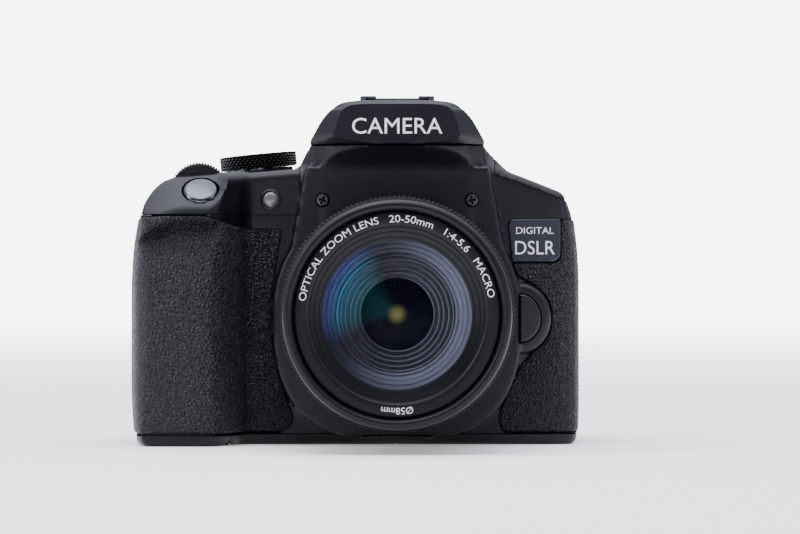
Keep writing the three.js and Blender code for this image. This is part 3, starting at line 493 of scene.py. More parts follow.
# Half widths of the prism housing's foot and of the mount housing, and how far the latter goes down from the
# axis. The release button's middle and radius, the eyepiece's height, the brow's front edge, the covers'
# thickness, the seams between them and the lens opening's radius.
HUMP_FOOT = 28.6
NOSE_R, NOSE_DROP = 36.0, 36.9
RELEASE = np.array([35.4, AXIS_Z - 1.7])
RELEASE_R = 7.1
EYE_Z = SHOULDER + 3.5
LIP = -47.2
WALL = 3.0
SEAM_GAP = 0.14
THROAT_R = 27.6


def superellipse(degrees):
    """A slightly squared circle: each of cosine and sine to the power 2 / 2.8, with its sign kept."""

    def squared(v):
        return np.sign(v) * np.abs(v) ** (1 / 1.4)

    a = np.radians(degrees)
    return np.stack([NOSE_R * squared(np.cos(a)), AXIS_Z + NOSE_DROP * squared(np.sin(a))], -1)


def nose_corners():
    """The mount housing from the front: a squared circle below, round cheeks and a neck above."""
    low = superellipse(np.linspace(180, 360, 40)).tolist()
    a = np.radians(np.array([8, 16, 24, 32]))
    arc = np.stack([NOSE_R * np.cos(a), AXIS_Z + NOSE_R * np.sin(a)], -1).tolist()
    side = arc + [[28.2, SHOULDER - 8.3], [26.2, SHOULDER + 1]]
    return low + side + [[-x, z] for x, z in reversed(side)]


def release_corners(r, flat):
    """The release button from the front: flat on the lens side, round on the outer side."""
    a = np.radians(np.linspace(-80, 80, 17))
    arc = np.stack([RELEASE[0] + 0.9 * r * np.cos(a), RELEASE[1] + r * np.sin(a)], -1).tolist()
    return [[flat, RELEASE[1] + r, 0.8], [flat, RELEASE[1] - r, 0.8]] + arc


def eye_outline(half_x, half_z, soft):
    """A softened rectangle about the eyepiece's middle."""
    return Outline([[s * half_x, EYE_Z + t * half_z, soft] for s, t in ((-1, -1), (1, -1), (1, 1), (-1, 1))])


# Outlines of the body's parts, [x or y, z, softness] in front or side view and [x, y, softness] from above.
FORM = {
    "front": Outline([
        [LEFT + 1.6, 0, 4], [RIGHT - 0.8, 0, 3], [RIGHT, 10, 5], [RIGHT, SHOULDER - 28, 7],
        [RIGHT - 2.7, SHOULDER - 12.6, 4], [RIGHT - 5.5, SHOULDER - 6.4, 1.5], [RIGHT - 19, SHOULDER - 1, 5],
        [HUMP_FOOT, SHOULDER + 1], [-HUMP_FOOT, SHOULDER + 0.7], [GRIP_MID, SHOULDER - 1.6, 4],
        [LEFT + 10.5, SHOULDER - 2.4, 5], [LEFT + 4.2, SHOULDER - 9, 5], [LEFT, SHOULDER - 27, 9],
        [LEFT, 14, 6],
    ]),
    "plan": Outline([[LEFT, PANEL], [RIGHT, PANEL, 9], [RIGHT, REAR, 6], [LEFT + 1, REAR, 9]]),
    "grip": Outline([
        [LEFT, GRIP_FRONT, 17], [LEFT + 25.2, GRIP_FRONT, 9], [LEFT + 32.2, PANEL - 5, 4],
        [LEFT + 33.7, PANEL + 10], [LEFT, PANEL + 18],
    ], 14),
    "nose": Outline(nose_corners()),
    "boss": Outline(release_corners(RELEASE_R + 3.2, RELEASE[0] - 8)),
    "brow front": Outline(mirrored([
        [31, AXIS_Z + 12], [31, AXIS_Z + 18], [28.2, SHOULDER - 8.3], [26.4, SHOULDER + 1],
        [25.3, FLASH_SEAT],
    ])),
    "brow side": Outline([
        [NOSE_FRONT, AXIS_Z + 12], [FLASH_BACK, AXIS_Z + 12], [FLASH_BACK, FLASH_SEAT], [LIP, FLASH_SEAT],
        [LIP + 3.0, SHOULDER + 4.6, 2], [NOSE_FRONT + 1.2, SHOULDER + 0.6, 3], [NOSE_FRONT, SHOULDER - 7, 3],
    ]),
    "brow plan": Outline([
        [-32, FLASH_BACK], [-32, PANEL - 6, 1], [-25.4, LIP + 9, 3], [-18.5, LIP + 2.2, 4],
        [0, LIP - 0.6, 10], [18.5, LIP + 2.2, 4], [25.4, LIP + 9, 3], [32, PANEL - 6, 1], [32, FLASH_BACK],
    ]),
    "hump front": Outline(mirrored([
        [HUMP_FOOT, SHOULDER - 12], [HUMP_FOOT - 0.2, SHOULDER + 2, 2], [25.4, FLASH_SEAT + 0.9, 2],
        [21.4, HUMP_TOP - 4.7, 3], [16.8, HUMP_TOP - 0.7, 2], [10.5, HUMP_TOP],
    ])),
    "hump side": Outline([
        [FLASH_BACK - 7, SHOULDER - 20], [REAR, SHOULDER - 20], [REAR, EYE_Z + 9, 3],
        [SPLIT + 2, HUMP_TOP - 0.8, 4], [FLASH_BACK, HUMP_TOP - 0.8], [FLASH_BACK, FLASH_SEAT],
        [FLASH_BACK - 7, FLASH_SEAT],
    ]),
    "eye": eye_outline(18, 11.5, 4),
}

# The grip's front upwards, [height, y]: a rolled lip, a hollow under it, and the leaning shelf on top.
GRIP_RISE = np.array([
    [-2, 5], [1.5, 2.8], [6, 2.0], [14, 1.4], [26, 0.9], [38, 0.6], [50, 0.9], [56, 1.5], [60, 2.8],
    [62.6, 4.4], [64.0, 4.3], [65.4, 2.5], [66.6, 1.6], [68.0, 2.0], [69.2, 2.3], [70.2, 3.2], [72, 5.2],
    [76, 9.7], [80, 14.2], [84, 18.7], [104, 41.2],
])


def grip_front(at):
    """Everything behind the grip's front, y = f(z'), where z' is the height with the shelf bent: lower to the
    outer side by a square law, higher to the inner side, so that its edge runs in a bow."""
    x, y, z = at.axes
    outer, inner = np.maximum(GRIP_MID - 3 - x, 0), np.maximum(x - GRIP_MID - 3.2, 0)
    high = np.clip((z - 52) / 10, 0, 1)
    lift = high * (4.6 * (outer / 13.6) ** 2 - 9.0 * (inner / 8) ** 2)
    tilt = high * (-9.2 * outer / 13.6**2 - 18.0 * inner / 64)
    height = z + lift
    zs = np.linspace(-2, 104, 425)
    ys = GRIP_FRONT + np.interp(zs, GRIP_RISE[:, 0], GRIP_RISE[:, 1])
    ys = np.convolve(np.pad(ys, 4, "edge"), np.ones(9) / 9, "valid")
    slope = np.interp(height, zs, np.gradient(ys, zs))
    c = 1 / np.sqrt(1 + slope**2)
    d = (np.interp(height, zs, ys) - y) * c
    return Field(d, np.stack([slope * tilt * c, -c + 0 * d, slope * c]) if at.slopes else None)


def main_block(at):
    """The body without grip and housings: its front view carried back, within its plan."""
    return both(along(at, FORM["front"], XZ), along(at, FORM["plan"], XY), 2.6)


def grip_block(at):
    """The grip: its plan carried up, within the front view and behind its own front."""
    column = both(along(at, FORM["grip"], XY), along(at, FORM["front"], XZ), 3.2)
    return both(column, grip_front(at), 0.7)


def outer_form(at):
    """Main block and grip, joined with a hollow fillet."""
    return either(main_block(at), grip_block(at), 3.0)


def body_form(at):
    """Main block, grip, mount housing, release boss, brow, prism housing and eyepiece boss, with fillets."""
    made = outer_form(at)
    nose = all_of(along(at, FORM["nose"], XZ), past(at, 1, NOSE_FRONT), r=0.9)
    boss = all_of(along(at, FORM["boss"], XZ), past(at, 1, PANEL - 8.2), r=1.6)
    nose = both(nose, up_to(at, 1, PANEL + 7))
    boss = both(boss, up_to(at, 1, PANEL + 7))
    made = either(made, either(nose, boss, 1.2), 1.6)
    brow = all_of(
        along(at, FORM["brow front"], XZ), along(at, FORM["brow side"], YZ), r=0.6
    )
    brow = both(brow, along(at, FORM["brow plan"], XY), 0.5)
    hump = both(along(at, FORM["hump front"], XZ), along(at, FORM["hump side"], YZ), 2.0)
    fillet = np.where(at.axes[0] < 0, 2.4, 6.0) + 0 * made.d
    made = either(made, hump, fillet)
    made = either(made, brow, 1.0)
    eye = both(along(at, FORM["eye"], XZ), both(up_to(at, 1, REAR + 1.8), past(at, 1, SPLIT - 4)), 1.2)
    return either(made, eye, 1.5)


def screen_recess(at, grown):
    """The room for the screen in the back, larger all round by grown."""
    return brick(
        at, (SCREEN_LOW[0] - 0.5 - grown, RIGHT + 9), (SCREEN_LOW[1] - 0.8 - grown, REAR + 12),
        (SCREEN_LOW[2] - 0.5 - grown, SCREEN_HIGH[2] + 0.5 + grown), r=0.0,
    )


def shell(at, form):
    """The form's wall: nothing deeper than its thickness but the walls of the screen's recess."""
    hollow = without(form.taken_in(WALL), screen_recess(at, 2.0))
    return without(form, hollow, screen_recess(at, 0.0))


def top_zone(at, grown):
    """Where the top cover is: beside the prism housing on the grip's side, over the sloping line on the
    other, and the deck between the flash and the eyepiece."""
    beside = both(up_to(at, 0, -HUMP_FOOT + grown), past(at, 2, SEAM - grown))
    line = roof(
        at, [HUMP_FOOT, RIGHT - 19, RIGHT - 5, RIGHT + 30],
        [SHOULDER - 1 - grown, SHOULDER - 3 - grown, SHOULDER - 8.4 - grown, SHOULDER - 8.4 - grown],
    )
    shoulder = both(line, past(at, 0, HUMP_FOOT - grown))
    middle = brick(
        at, (-HUMP_FOOT - 1, HUMP_FOOT + 1), (FLASH_BACK + 0.3 - grown, SPLIT + 2 + grown),
        (SHOULDER - 1 - grown, 200)
    )
    return either(either(beside, shoulder), middle)


# ---------------------------------------------------------------- materials

# Metres: the slow drifts of tone in plastic, the lines on brushed or turned metal, and the distances from the
# optical axis between which the painted glint at the core fades and the painted reflection of the lens
# coating changes colour. The painted reflection's middle is the way up and to the left.
DRIFT = 0.022
BRUSH_LINE = 0.0011
PAINTED_GLINT_CORE = (0.0002, 0.0034)
PAINTED_REFLECTION_TEAL_TO_BLUE = (0.0105, 0.0165)
PAINTED_REFLECTION_BLUE_TO_VIOLET = (0.0165, 0.0205)
PAINTED_REFLECTION_WAY = (-0.92, 0.0, 0.39)


def add(tree, kind, sockets=None, **settings):
    """Adds a node. A socket given another node's socket is linked to it; anything else is its value."""
    made = tree.nodes.new(kind)
    for key, value in settings.items():
        setattr(made, key, value)
    for key, value in (sockets or {}).items():
        if isinstance(value, bpy.types.NodeSocket):
            tree.links.new(value, made.inputs[key])
        else:
            made.inputs[key].default_value = value
    return made


def start(name):
    """A new material, its empty node tree and its Object coordinates, which are metres."""
    made = bpy.data.materials.new(name)
    made.use_nodes = True
    made.node_tree.nodes.clear()
    tree = made.node_tree
    return made, tree, add(tree, "ShaderNodeTexCoord").outputs["Object"]


def close(tree, sockets):
    """Ends a tree in one Principled shader with these sockets."""
    shader = add(tree, "ShaderNodeBsdfPrincipled", sockets)
    add(tree, "ShaderNodeOutputMaterial", {"Surface": shader.outputs["BSDF"]})


def rgba(colour, gain=1.0):
    """A colour with alpha, lightened or darkened by a gain and held to 1."""
    return (*[min(c * gain, 1.0) for c in colour], 1.0)


def noise(tree, where, size, detail, **more):
    """Cloudy noise with lumps of about one size, in metres."""
    sockets = {"Vector": where, "Scale": 1 / size, "Detail": detail, **more}
    return add(tree, "ShaderNodeTexNoise", sockets).outputs["Fac"]


def blend(tree, factor, one, two):
    """The colour between two colours, by a factor from 0 to 1."""
    return add(tree, "ShaderNodeMix", {"Factor": factor, 6: one, 7: two}, data_type="RGBA").outputs[2]


def remap(tree, value, source=(0.0, 1.0), target=(0.0, 1.0), curve="LINEAR"):
    """A value carried from one range to another and held between the ends of the second."""
    sockets = {"Value": value, "From Min": source[0], "From Max": source[1], "To Min": target[0],
               "To Max": target[1]}
    return add(tree, "ShaderNodeMapRange", sockets, interpolation_type=curve).outputs["Result"]


def vector(tree, operation, *sockets, out=0):
    """One of a vector math node's results."""
    return add(tree, "ShaderNodeVectorMath", dict(enumerate(sockets)), operation=operation).outputs[out]


def sum_of(tree, value, gain, more):
    """value * gain + more."""
    return add(tree, "ShaderNodeMath", {0: value, 1: gain, 2: more}, operation="MULTIPLY_ADD").outputs[0]


def relief(tree, height, strength, depth):
    """Bumps of a height from 0 to 1, depth metres deep."""
    sockets = {"Height": height, "Strength": strength, "Distance": depth}
    return add(tree, "ShaderNodeBump", sockets).outputs["Normal"]


def moulded(name, colour, grain, depth, rough, spread=0.06, specular=0.5):
    """Moulded plastic: a fine even grain from the eroded mould as bump, slow drifts of tone and of gloss
    where it was handled. The grain's size is in metres."""
    made, tree, where = start(name)
    slow = noise(tree, where, DRIFT, 3.0)
    close(tree, {
        "Base Color": blend(tree, slow, rgba(colour, 0.82), rgba(colour, 1.18)),
        "Roughness": remap(tree, slow, (0.3, 0.7), (rough - spread, rough + spread)),
        "Normal": relief(tree, noise(tree, where, grain, 2.0, Roughness=0.6), 0.5, depth),
        "Specular IOR Level": specular,
    })
    return made


def leather(name, colour, painted_crown_highlight, cell, depth, rough):
    """Moulded rubber with a leather grain: cells of cell size parted by creases, bent by a noise so that they
    wander, each cell's crown a little glossier and painted lighter than the creases, a painted highlight."""
    made, tree, where = start(name)
    bend = add(tree, "ShaderNodeTexNoise", {"Vector": where, "Scale": 1 / (1.7 * cell), "Detail": 2.0})
    centred = vector(tree, "SUBTRACT", bend.outputs["Color"], (0.5, 0.5, 0.5))
    moved = add(tree, "ShaderNodeVectorMath", {0: centred, "Scale": 1.6 * cell}, operation="SCALE")
    place = vector(tree, "ADD", where, moved.outputs[0])
    cells = add(tree, "ShaderNodeTexVoronoi", {"Vector": place, "Scale": 1 / cell},
                feature="DISTANCE_TO_EDGE")
    crown = remap(tree, cells.outputs["Distance"], (0.02, 0.34), curve="SMOOTHSTEP")
    height = sum_of(tree, noise(tree, where, 0.32 * cell, 2.0), 0.35, crown)
    close(tree, {
        # The colour follows the grain's height: the crowns get a painted highlight.
        "Base Color": blend(tree, height, rgba(colour), rgba(painted_crown_highlight)),
        "Roughness": remap(tree, height, target=(rough + 0.12, rough - 0.1)),
        "Normal": relief(tree, height, 1.0, depth), "Specular IOR Level": 0.36,
    })
    return made


def metal(name, colour, rough, stretch, depth=0.000012):
    """Bare or plated metal: a noise drawn out along one axis gives the lines left by brushing or turning."""
    made, tree, where = start(name)
    lines = add(tree, "ShaderNodeMapping", {"Vector": where, "Scale": stretch}, vector_type="POINT")
    brushed = noise(tree, lines.outputs["Vector"], BRUSH_LINE, 3.0)
    close(tree, {
        "Base Color": blend(tree, brushed, rgba(colour, 0.8), rgba(colour, 1.12)), "Metallic": 1.0,
        "Roughness": remap(tree, brushed, target=(rough - 0.07, rough + 0.1)),
        "Normal": relief(tree, brushed, 0.35, depth),
    })
    return made


def printed(name, colour):
    """Pad-printed ink: matt, with the faint unevenness of a thin film."""
    made, tree, where = start(name)
    film = noise(tree, where, 0.0009, 2.0)
    close(tree, {"Base Color": blend(tree, film, rgba(colour, 0.86), rgba(colour, 1.05)), "Roughness": 0.55})
    return made


def painted_reflection_look(name, codes, rough, metallic=0.0, lit=None, core=None, specular=0.3):
    """Parts seen through the lens's glass: their own tone, with a painted reflection of the coating over the
    wedge that faces up and to the left of the axis, from violet at the rim through blue to teal inwards. The
    side away from it is painted paler as painted light, and the core may have a painted glint. The codes are
    of the own tone, and of the painted reflection's violet, blue and teal."""
    made, tree, where = start(name)
    tint, violet, blue, teal = [rgba(linear(code)) for code in codes]
    centred = add(tree, "ShaderNodeMapping", {"Vector": where, "Location": (0, 0, -AXIS_Z * MM)})
    flat = vector(tree, "MULTIPLY", centred.outputs["Vector"], (1.0, 0.0, 1.0))
    radius = vector(tree, "LENGTH", flat, out="Value")
    facing = vector(tree, "DOT_PRODUCT", vector(tree, "NORMALIZE", flat), PAINTED_REFLECTION_WAY, out="Value")
    # Painted reflection over the wedge that faces up and left, and painted light on the side away from it.
    wedge = remap(tree, facing, (0.62, 0.99), curve="SMOOTHSTEP")
    away = remap(tree, facing, (0.7, -0.8), curve="SMOOTHSTEP")
    sea = blend(tree, remap(tree, radius, PAINTED_REFLECTION_TEAL_TO_BLUE), teal, blue)
    sheen = blend(tree, remap(tree, radius, PAINTED_REFLECTION_BLUE_TO_VIOLET), sea, violet)
    ground = blend(tree, away, tint, rgba(linear(lit)) if lit else tint)
    # A painted glint at the core.
    heart = remap(tree, radius, PAINTED_GLINT_CORE, curve="SMOOTHSTEP")
    # The base colour: the own tone with the painted light, the painted reflection and the painted glint in
    # it.
    tone = blend(tree, heart, rgba(linear(core)) if core else tint, blend(tree, wedge, ground, sheen))
    lines = noise(tree, where, BRUSH_LINE, 2.0)
    close(tree, {
        "Base Color": tone, "Roughness": remap(tree, lines, target=(rough, rough + 0.1)),
        "Metallic": metallic, "Specular IOR Level": specular,
    })
    return made


def clear_glass(name, painted_violet_reflection):
    """Clear optical glass: light passes straight through, and only a faint reflection stays, stronger where
    the
    glass is seen at a slant: partly its real gloss, partly a painted violet reflection in the base colour."""
    made, tree, where = start(name)
    haze = remap(tree, noise(tree, where, 0.003, 3.0), target=(0.02, 0.05))
    slant = add(tree, "ShaderNodeLayerWeight", {"Blend": 0.12})
    close(tree, {
        "Base Color": rgba(painted_violet_reflection), "Roughness": 0.02, "IOR": 1.4,
        "Alpha": sum_of(tree, slant.outputs["Fresnel"], 0.3, haze),
    })
    return made


def panel_glass(name, colour, rough=0.06):
    """Hard-coated cover glass over a dark panel: near black, glossy, with slow waves under the coat."""
    made, tree, where = start(name)
    waves = noise(tree, where, 0.03, 1.0)
    close(tree, {
        "Base Color": blend(tree, waves, rgba(colour, 0.8), rgba(colour, 1.2)), "Roughness": rough,
        "Coat Weight": 0.7, "Coat Roughness": 0.03,
    })
    return made


def ribbed_diffuser(name, colour, pitch):
    """A flash window: milky acrylic with fine moulded ribs, one every pitch, drawn as waves across, their
    hollows painted darker as painted shade.
    """
    made, tree, where = start(name)
    wave = add(tree, "ShaderNodeTexWave", {"Vector": where, "Scale": 0.314 / pitch}, bands_direction="X")
    height = wave.outputs["Fac"]
    close(tree, {
        # The ribs' hollows are painted darker than their crests: painted shade.
        "Base Color": blend(tree, height, rgba(colour, 0.8), rgba(colour)), "Roughness": 0.12, "IOR": 1.49,
        "Subsurface Weight": 0.15, "Subsurface Scale": 0.002, "Normal": relief(tree, height, 0.8, 0.0002),
        "Coat Weight": 0.5, "Coat Roughness": 0.05,
    })
    return made


def tint(name, description, code):
    """A colour property whose default is given as an sRGB code."""
    return FloatVectorProperty(name=name, description=description, subtype="COLOR", default=linear(code),
                               min=0, max=1)


def length(name, description, default, low, high):
    """A length property, in metres."""
    return FloatProperty(name=name, description=description, unit="LENGTH", default=default, min=low,
                         max=high, precision=5)


def count(name, description, default, low, high):
    """A whole number property."""
    return IntProperty(name=name, description=description, default=default, min=low, max=high)


class CameraFinishes(bpy.types.PropertyGroup):
    """Colours of the finishes, and the size of the leather grain."""

    body: tint("Body plastic", "Colour of the moulded covers", "#0c0c13")
    rubber: tint("Grip rubber", "Colour in the creases of the leather grain", "#060608")
    # The crowns' colour is a painted highlight on the grain.
    rubber_painted_crown_highlight: tint("Grip rubber, crowns", "Colour on the crowns of the grain", "#1a1a23")
    control: tint("Controls", "Colour of dials and buttons", "#09090c")
    shutter: tint("Shutter button", "Colour of the plated shutter button", "#55565c")
    lens: tint("Lens barrel", "Colour of the lens barrel", "#0b0b10")
    lens_rubber: tint("Lens rings", "Colour of the ribbed rings", "#0b0b0e")
    steel: tint("Steel", "Colour of bare steel", "#8b8d92")
    black_metal: tint("Black metal", "Colour of anodised and blackened metal", "#55565b")
    ink: tint("Ink", "Colour of printed markings", "#f2f2f2")
    badge: tint("Badge", "Colour of the badge plate", "#171826")
    lamp: tint("Lamp", "Colour of the self-timer lamp", "#6f6966")
    floor: tint("Floor", "Colour of the studio floor", "#f4f4f4")
    grain: length("Leather grain", "Width of a cell of the leather grain", 0.00105, 0.0003, 0.004)


class CameraSizes(bpy.types.PropertyGroup):
    """Sizes of the looks that the frame doesn't fix."""

    cover_step: length("Cover step", "Width of the cubes that the covers are made on", 0.0009, 0.0004, 0.004)
    skin_rise: length("Skin rise", "How far the rubber coverings stand out of the covers", 0.00045, 0.0,
                      0.0009)
    zoom_teeth: count("Zoom ring ribs", "Ribs round the zoom ring", 150, 40, 240)
    focus_teeth: count("Focus ring ribs", "Ribs round the focus ring", 190, 40, 300)
    dial_knurls: count("Mode dial knurls", "Diamonds round the mode dial", 48, 20, 120)
    camera_distance: length("View distance", "Camera to the body's middle", 1.3, 0.4, 4.0)
    camera_rise: FloatProperty(name="View rise", description="How far the camera is above level",
                               subtype="ANGLE", default=0.0, min=-0.5, max=1.5)


LOOKS = {}


def mix_finishes():
    """Makes every material once, from the finishes."""
    f = bpy.context.scene.camera_finishes
    LOOKS.update(
        # Moulded polycarbonate, spark-eroded: satin black that goes grey where light grazes it. Grain 0.25
        # mm, drawn at 0.45 mm so that it shows.
        body=moulded("moulded_polycarbonate", f.body, 0.00045, 0.00003, 0.4, 0.05, 0.3),
        # Moulded thermoplastic rubber with leather grain: dull black, the crowns of the grain painted bright
        # as a painted highlight.
        rubber=leather("grained_rubber", f.rubber, f.rubber_painted_crown_highlight, f.grain, 0.00085, 0.4),
        # Glossy moulded ABS of dials and buttons: deeper black with crisp highlights.
        control=moulded("moulded_abs", f.control, 0.0006, 0.000015, 0.34, 0.05, 0.4),
        # Plated and lacquered shutter button: smooth grey metal with broad soft reflections.
        shutter=metal("satin_plated_cap", f.shutter, 0.22, (1.0, 1.0, 0.12)),
        # Lens barrel, moulded polycarbonate with a finer grain: satin rings of light round the barrel.
        lens=moulded("fine_moulded_polycarbonate", f.lens, 0.00035, 0.00002, 0.36, 0.05, 0.22),
        # Ribbed ring of moulded rubber: matt, so only the ribs' crests catch light.
        lens_rubber=moulded("ribbed_rubber", f.lens_rubber, 0.0005, 0.00003, 0.55, 0.04, 0.14),
        # Soft moulded rubber of the terminal flap: matt dark grey.
        flap=moulded("soft_flap_rubber", f.body, 0.0007, 0.00004, 0.55, 0.04, 0.3),
        # Brushed stainless steel: fine lines along X.
        steel=metal("brushed_steel", f.steel, 0.28, (0.08, 1.0, 1.0)),
        # Blackened metal of screws, baffles and blades: dark with a dull metallic sheen.
        black_metal=metal("blackened_metal", f.black_metal, 0.38, (1.0, 0.5, 1.0)),
        # Printed markings: matt white with a thin film's faint unevenness, so they never glint.
        ink=printed("pad_printed_ink", f.ink),
        # Badge plate, satin lacquer over plastic: a dark blue a step glossier than the covers.
        badge=moulded("satin_badge", f.badge, 0.0009, 0.00001, 0.3, 0.04),
        # Diffusing acrylic of the lamp: milky grey dome.
        lamp=panel_glass("milky_acrylic", f.lamp, 0.2),
        # Coated glass: all but clear from the front, so the rings behind it show, with a faint painted violet
        # reflection.
        front_glass=clear_glass("coated_crown_glass_painted_reflection", linear("#23244a")),
        # Polished inner glass over black: a painted teal reflection in the wedge, black elsewhere, a painted
        # dull yellow glint at the core.
        inner_glass=painted_reflection_look("inner_glass_painted_reflection", ("#040405", "#101a3a", "#0e3550", "#0c2c2b"), 0.4,
                           core="#6f6a3e", specular=0.02),
        # Baffle rings seen through the glass: matt black, painted a little paler to the right and below as
        # painted light, with a painted reflection from blue to teal in the wedge.
        cell=painted_reflection_look("baffles_painted_reflection", ("#0a0a0c", "#24265a", "#15455f", "#0e3b3e"), 0.4, lit="#0e0e12"),
        # Lens seat: dark blue-grey, painted lavender-grey to the right and below as painted light, with a
        # painted reflection from blue to violet in the wedge.
        seat=painted_reflection_look("lens_seat_painted_light", ("#1a1b25", "#2a2c6a", "#1d5272", "#134c50"), 0.35, 0.05, lit="#6b6c80"),
        # Eyepiece glass over the dark finder: near black with a sharp bright reflection.
        eyepiece_glass=panel_glass("eyepiece_glass", linear("#0a0b10"), 0.04),
        # Screen's cover glass, switched off: near black, and mirrors the room softly.
        panel=panel_glass("screen_cover_glass", linear("#0b0c0f")),
        # Flash window: milky pale acrylic whose fine ribs break its highlight into lines.
        window=ribbed_diffuser("flash_window_acrylic", linear("#c9cac8"), 0.0012),
        # Front-silvered mirror: near-perfect reflection with a faint blue cast.
        mirror=metal("silvered_mirror", linear("#dfe4ea"), 0.1, (1.0, 1.0, 1.0), 0.000001),
        # Sensor cover glass over the chip: dark green-violet with a hard gloss.
        sensor=panel_glass("sensor_cover_glass", linear("#16241f"), 0.03),
        # Turned edges of the retaining rings: thin lines round the glass, painted pale to the right and below
        # as painted light, with a painted reflection from blue to violet in the wedge.
        lip=painted_reflection_look("turned_ring_edges_painted_light", ("#24242c", "#44468c", "#3a7793", "#36757a"), 0.5, lit="#6e6f80"),
        # Matt black lining of the inside: swallows light, so nothing pale shows behind a seam or the lens.
        void=moulded("matt_black_lining", linear("#050505"), 0.0006, 0.00002, 0.85, 0.05, 0.2),
    )


# ---------------------------------------------------------------- places of the controls

# Middles of the controls on the skin of the body, the ways they point and the turns in degrees that lean
# them, their radii, and the gap round a moving piece.
SHUTTER_AT = np.array([GRIP_MID, GRIP_FRONT + 8.4, SEAM + 6.2])
SHUTTER_LEAN = 42
SHUTTER_TURN = (SHUTTER_LEAN, 0, 0)
SHUTTER_AXIS = (0, -np.sin(np.radians(SHUTTER_LEAN)), np.cos(np.radians(SHUTTER_LEAN)))
SHUTTER_R = 5.2
MAIN_DIAL_AT = np.array([GRIP_MID - 1, PANEL + 3.6, SHOULDER - 6.2])
MODE_AT = np.array([LEFT + 36.6, -3.5, SHOULDER - 0.2])
MODE_LEAN = 5.5
MODE_TURN = (0, -MODE_LEAN, 0)
MODE_AXIS = (-np.sin(np.radians(MODE_LEAN)), 0, np.cos(np.radians(MODE_LEAN)))
MODE_STEM = 4.3
ISO_AT = np.array([GRIP_MID - 5, PANEL + 15, SHOULDER - 1.6])
ISO_R = 2.4
LAMP_AT = np.array([-HUMP_FOOT - 8.4, PANEL, SHOULDER - 8.4])
SCREW_AT = [np.array([s * 21.6, NOSE_FRONT, SHOULDER - 8.7]) for s in (-1, 1)]
PREVIEW_DEG = -136.0
PREVIEW_R = 2.3
PREVIEW_XZ = superellipse(np.array([PREVIEW_DEG]))[0]
PREVIEW_AT = np.array([PREVIEW_XZ[0], NOSE_FRONT + 6, PREVIEW_XZ[1]])
PREVIEW_AXIS = (np.cos(np.radians(PREVIEW_DEG)), 0, np.sin(np.radians(PREVIEW_DEG)))
KNOB_LOW, KNOB_HIGH = span("diopter_knob")
KNOB_AT = (KNOB_LOW + KNOB_HIGH) / 2
QUICK_LOW, QUICK_HIGH = span("quick_dial")
QUICK_AT = np.array([(QUICK_LOW[0] + QUICK_HIGH[0]) / 2, REAR, (QUICK_LOW[2] + QUICK_HIGH[2]) / 2])
REAR_BUTTONS = ("live_view_button", "af_on_button", "ae_lock_button", "af_point_button", "play_button",
                "erase_button", "menu_button", "info_button")
GAP = 0.3


def middle(node):
    """Middle and half sizes of a CAD node, in millimetres."""
    low, high = span(node)
    return (low + high) / 2, (high - low) / 2


# ---------------------------------------------------------------- covers

GRIP_SKIN = Outline([
    [LEFT - 5, BASE + 0.8], [-33, BASE + 0.8, 2], [-29.9, 7.6, 3], [-33.9, 17, 6], [-38.2, AXIS_Z - 3, 12],
    [-35.6, AXIS_Z + 13, 6], [-33.8, SEAM - 4.4, 1], [-46, SEAM - 4.1, 9], [-54, SEAM - 0.5, 9],
    [-64, SEAM - 0.3, 9], [LEFT - 5, SEAM - 1.6],
])
BADGE_LEFT, BADGE_RIGHT = HUMP_FOOT + 3.6, RIGHT - 6.2
BADGE_Z = (SHOULDER - 26.6, SHOULDER - 14.2)
SIDE_SKIN = Outline([
    [31, BASE + 0.8, 1], [RIGHT + 3, BASE + 0.8], [RIGHT + 3, BADGE_Z[1]], [BADGE_RIGHT + GAP, BADGE_Z[1]],
    [BADGE_RIGHT + GAP, BADGE_Z[0] - GAP, 3.4], [BADGE_LEFT + 1.6, BADGE_Z[0] - GAP],
    [BADGE_LEFT + 2.6, RELEASE[1] + RELEASE_R + 5, 2], [RELEASE[0] + 3, RELEASE[1] + RELEASE_R + 3.6, 4],
    [RELEASE[0] + 8.6, RELEASE[1] + 6.6, 5], [RELEASE[0] + 10.2, RELEASE[1], 5],
    [RELEASE[0] + 8.6, RELEASE[1] - 6.6, 5], [RELEASE[0] + 3, RELEASE[1] - RELEASE_R - 3.6, 4],
    [RELEASE[0] - 1.2, 20, 3], [29.3, 8, 3],
])
THUMB_LOW, THUMB_HIGH = span("thumb_rubber")
THUMB_SKIN = Outline([
    [LEFT - 4, 28], [THUMB_HIGH[0], 28, 3], [THUMB_HIGH[0], SHOULDER - 24, 3], [LEFT - 4, SHOULDER - 24],
])
BADGE = Outline([
    [BADGE_LEFT + 1.4, BADGE_Z[0], 0.6], [BADGE_RIGHT, BADGE_Z[0], 3.2], [BADGE_RIGHT, BADGE_Z[1], 0.6],
    [BADGE_LEFT, BADGE_Z[1], 2.4],
])
RELEASE_HOLE = Outline(release_corners(RELEASE_R + GAP, RELEASE[0] - GAP))
RELEASE_CAP = Outline(release_corners(RELEASE_R, RELEASE[0]))
SKIN_DEPTH = 1.6
CARD_LOW, CARD_HIGH = span("card_door")
PORT_LOW, PORT_HIGH = span("terminal_cover")
DOOR_LOW, DOOR_HIGH = span("battery_door")
SOCKET_LOW, SOCKET_HIGH = span("tripod_socket")


def recess(at, form, outline, y0, y1):
    """The pocket in a cover for a rubber covering or a badge: the outline grown by a groove, to a depth."""
    pocket = both(along(at, outline, XZ).taken_in(-0.22), slab(at, 1, y0, y1))
    return without(pocket, form.taken_in(SKIN_DEPTH))


def button_hole(at, centre, axis, radius):
    """A round hole that leaves a gap round a button."""
    return rod(at, centre, axis, radius + GAP, (-6.0, 6.0))


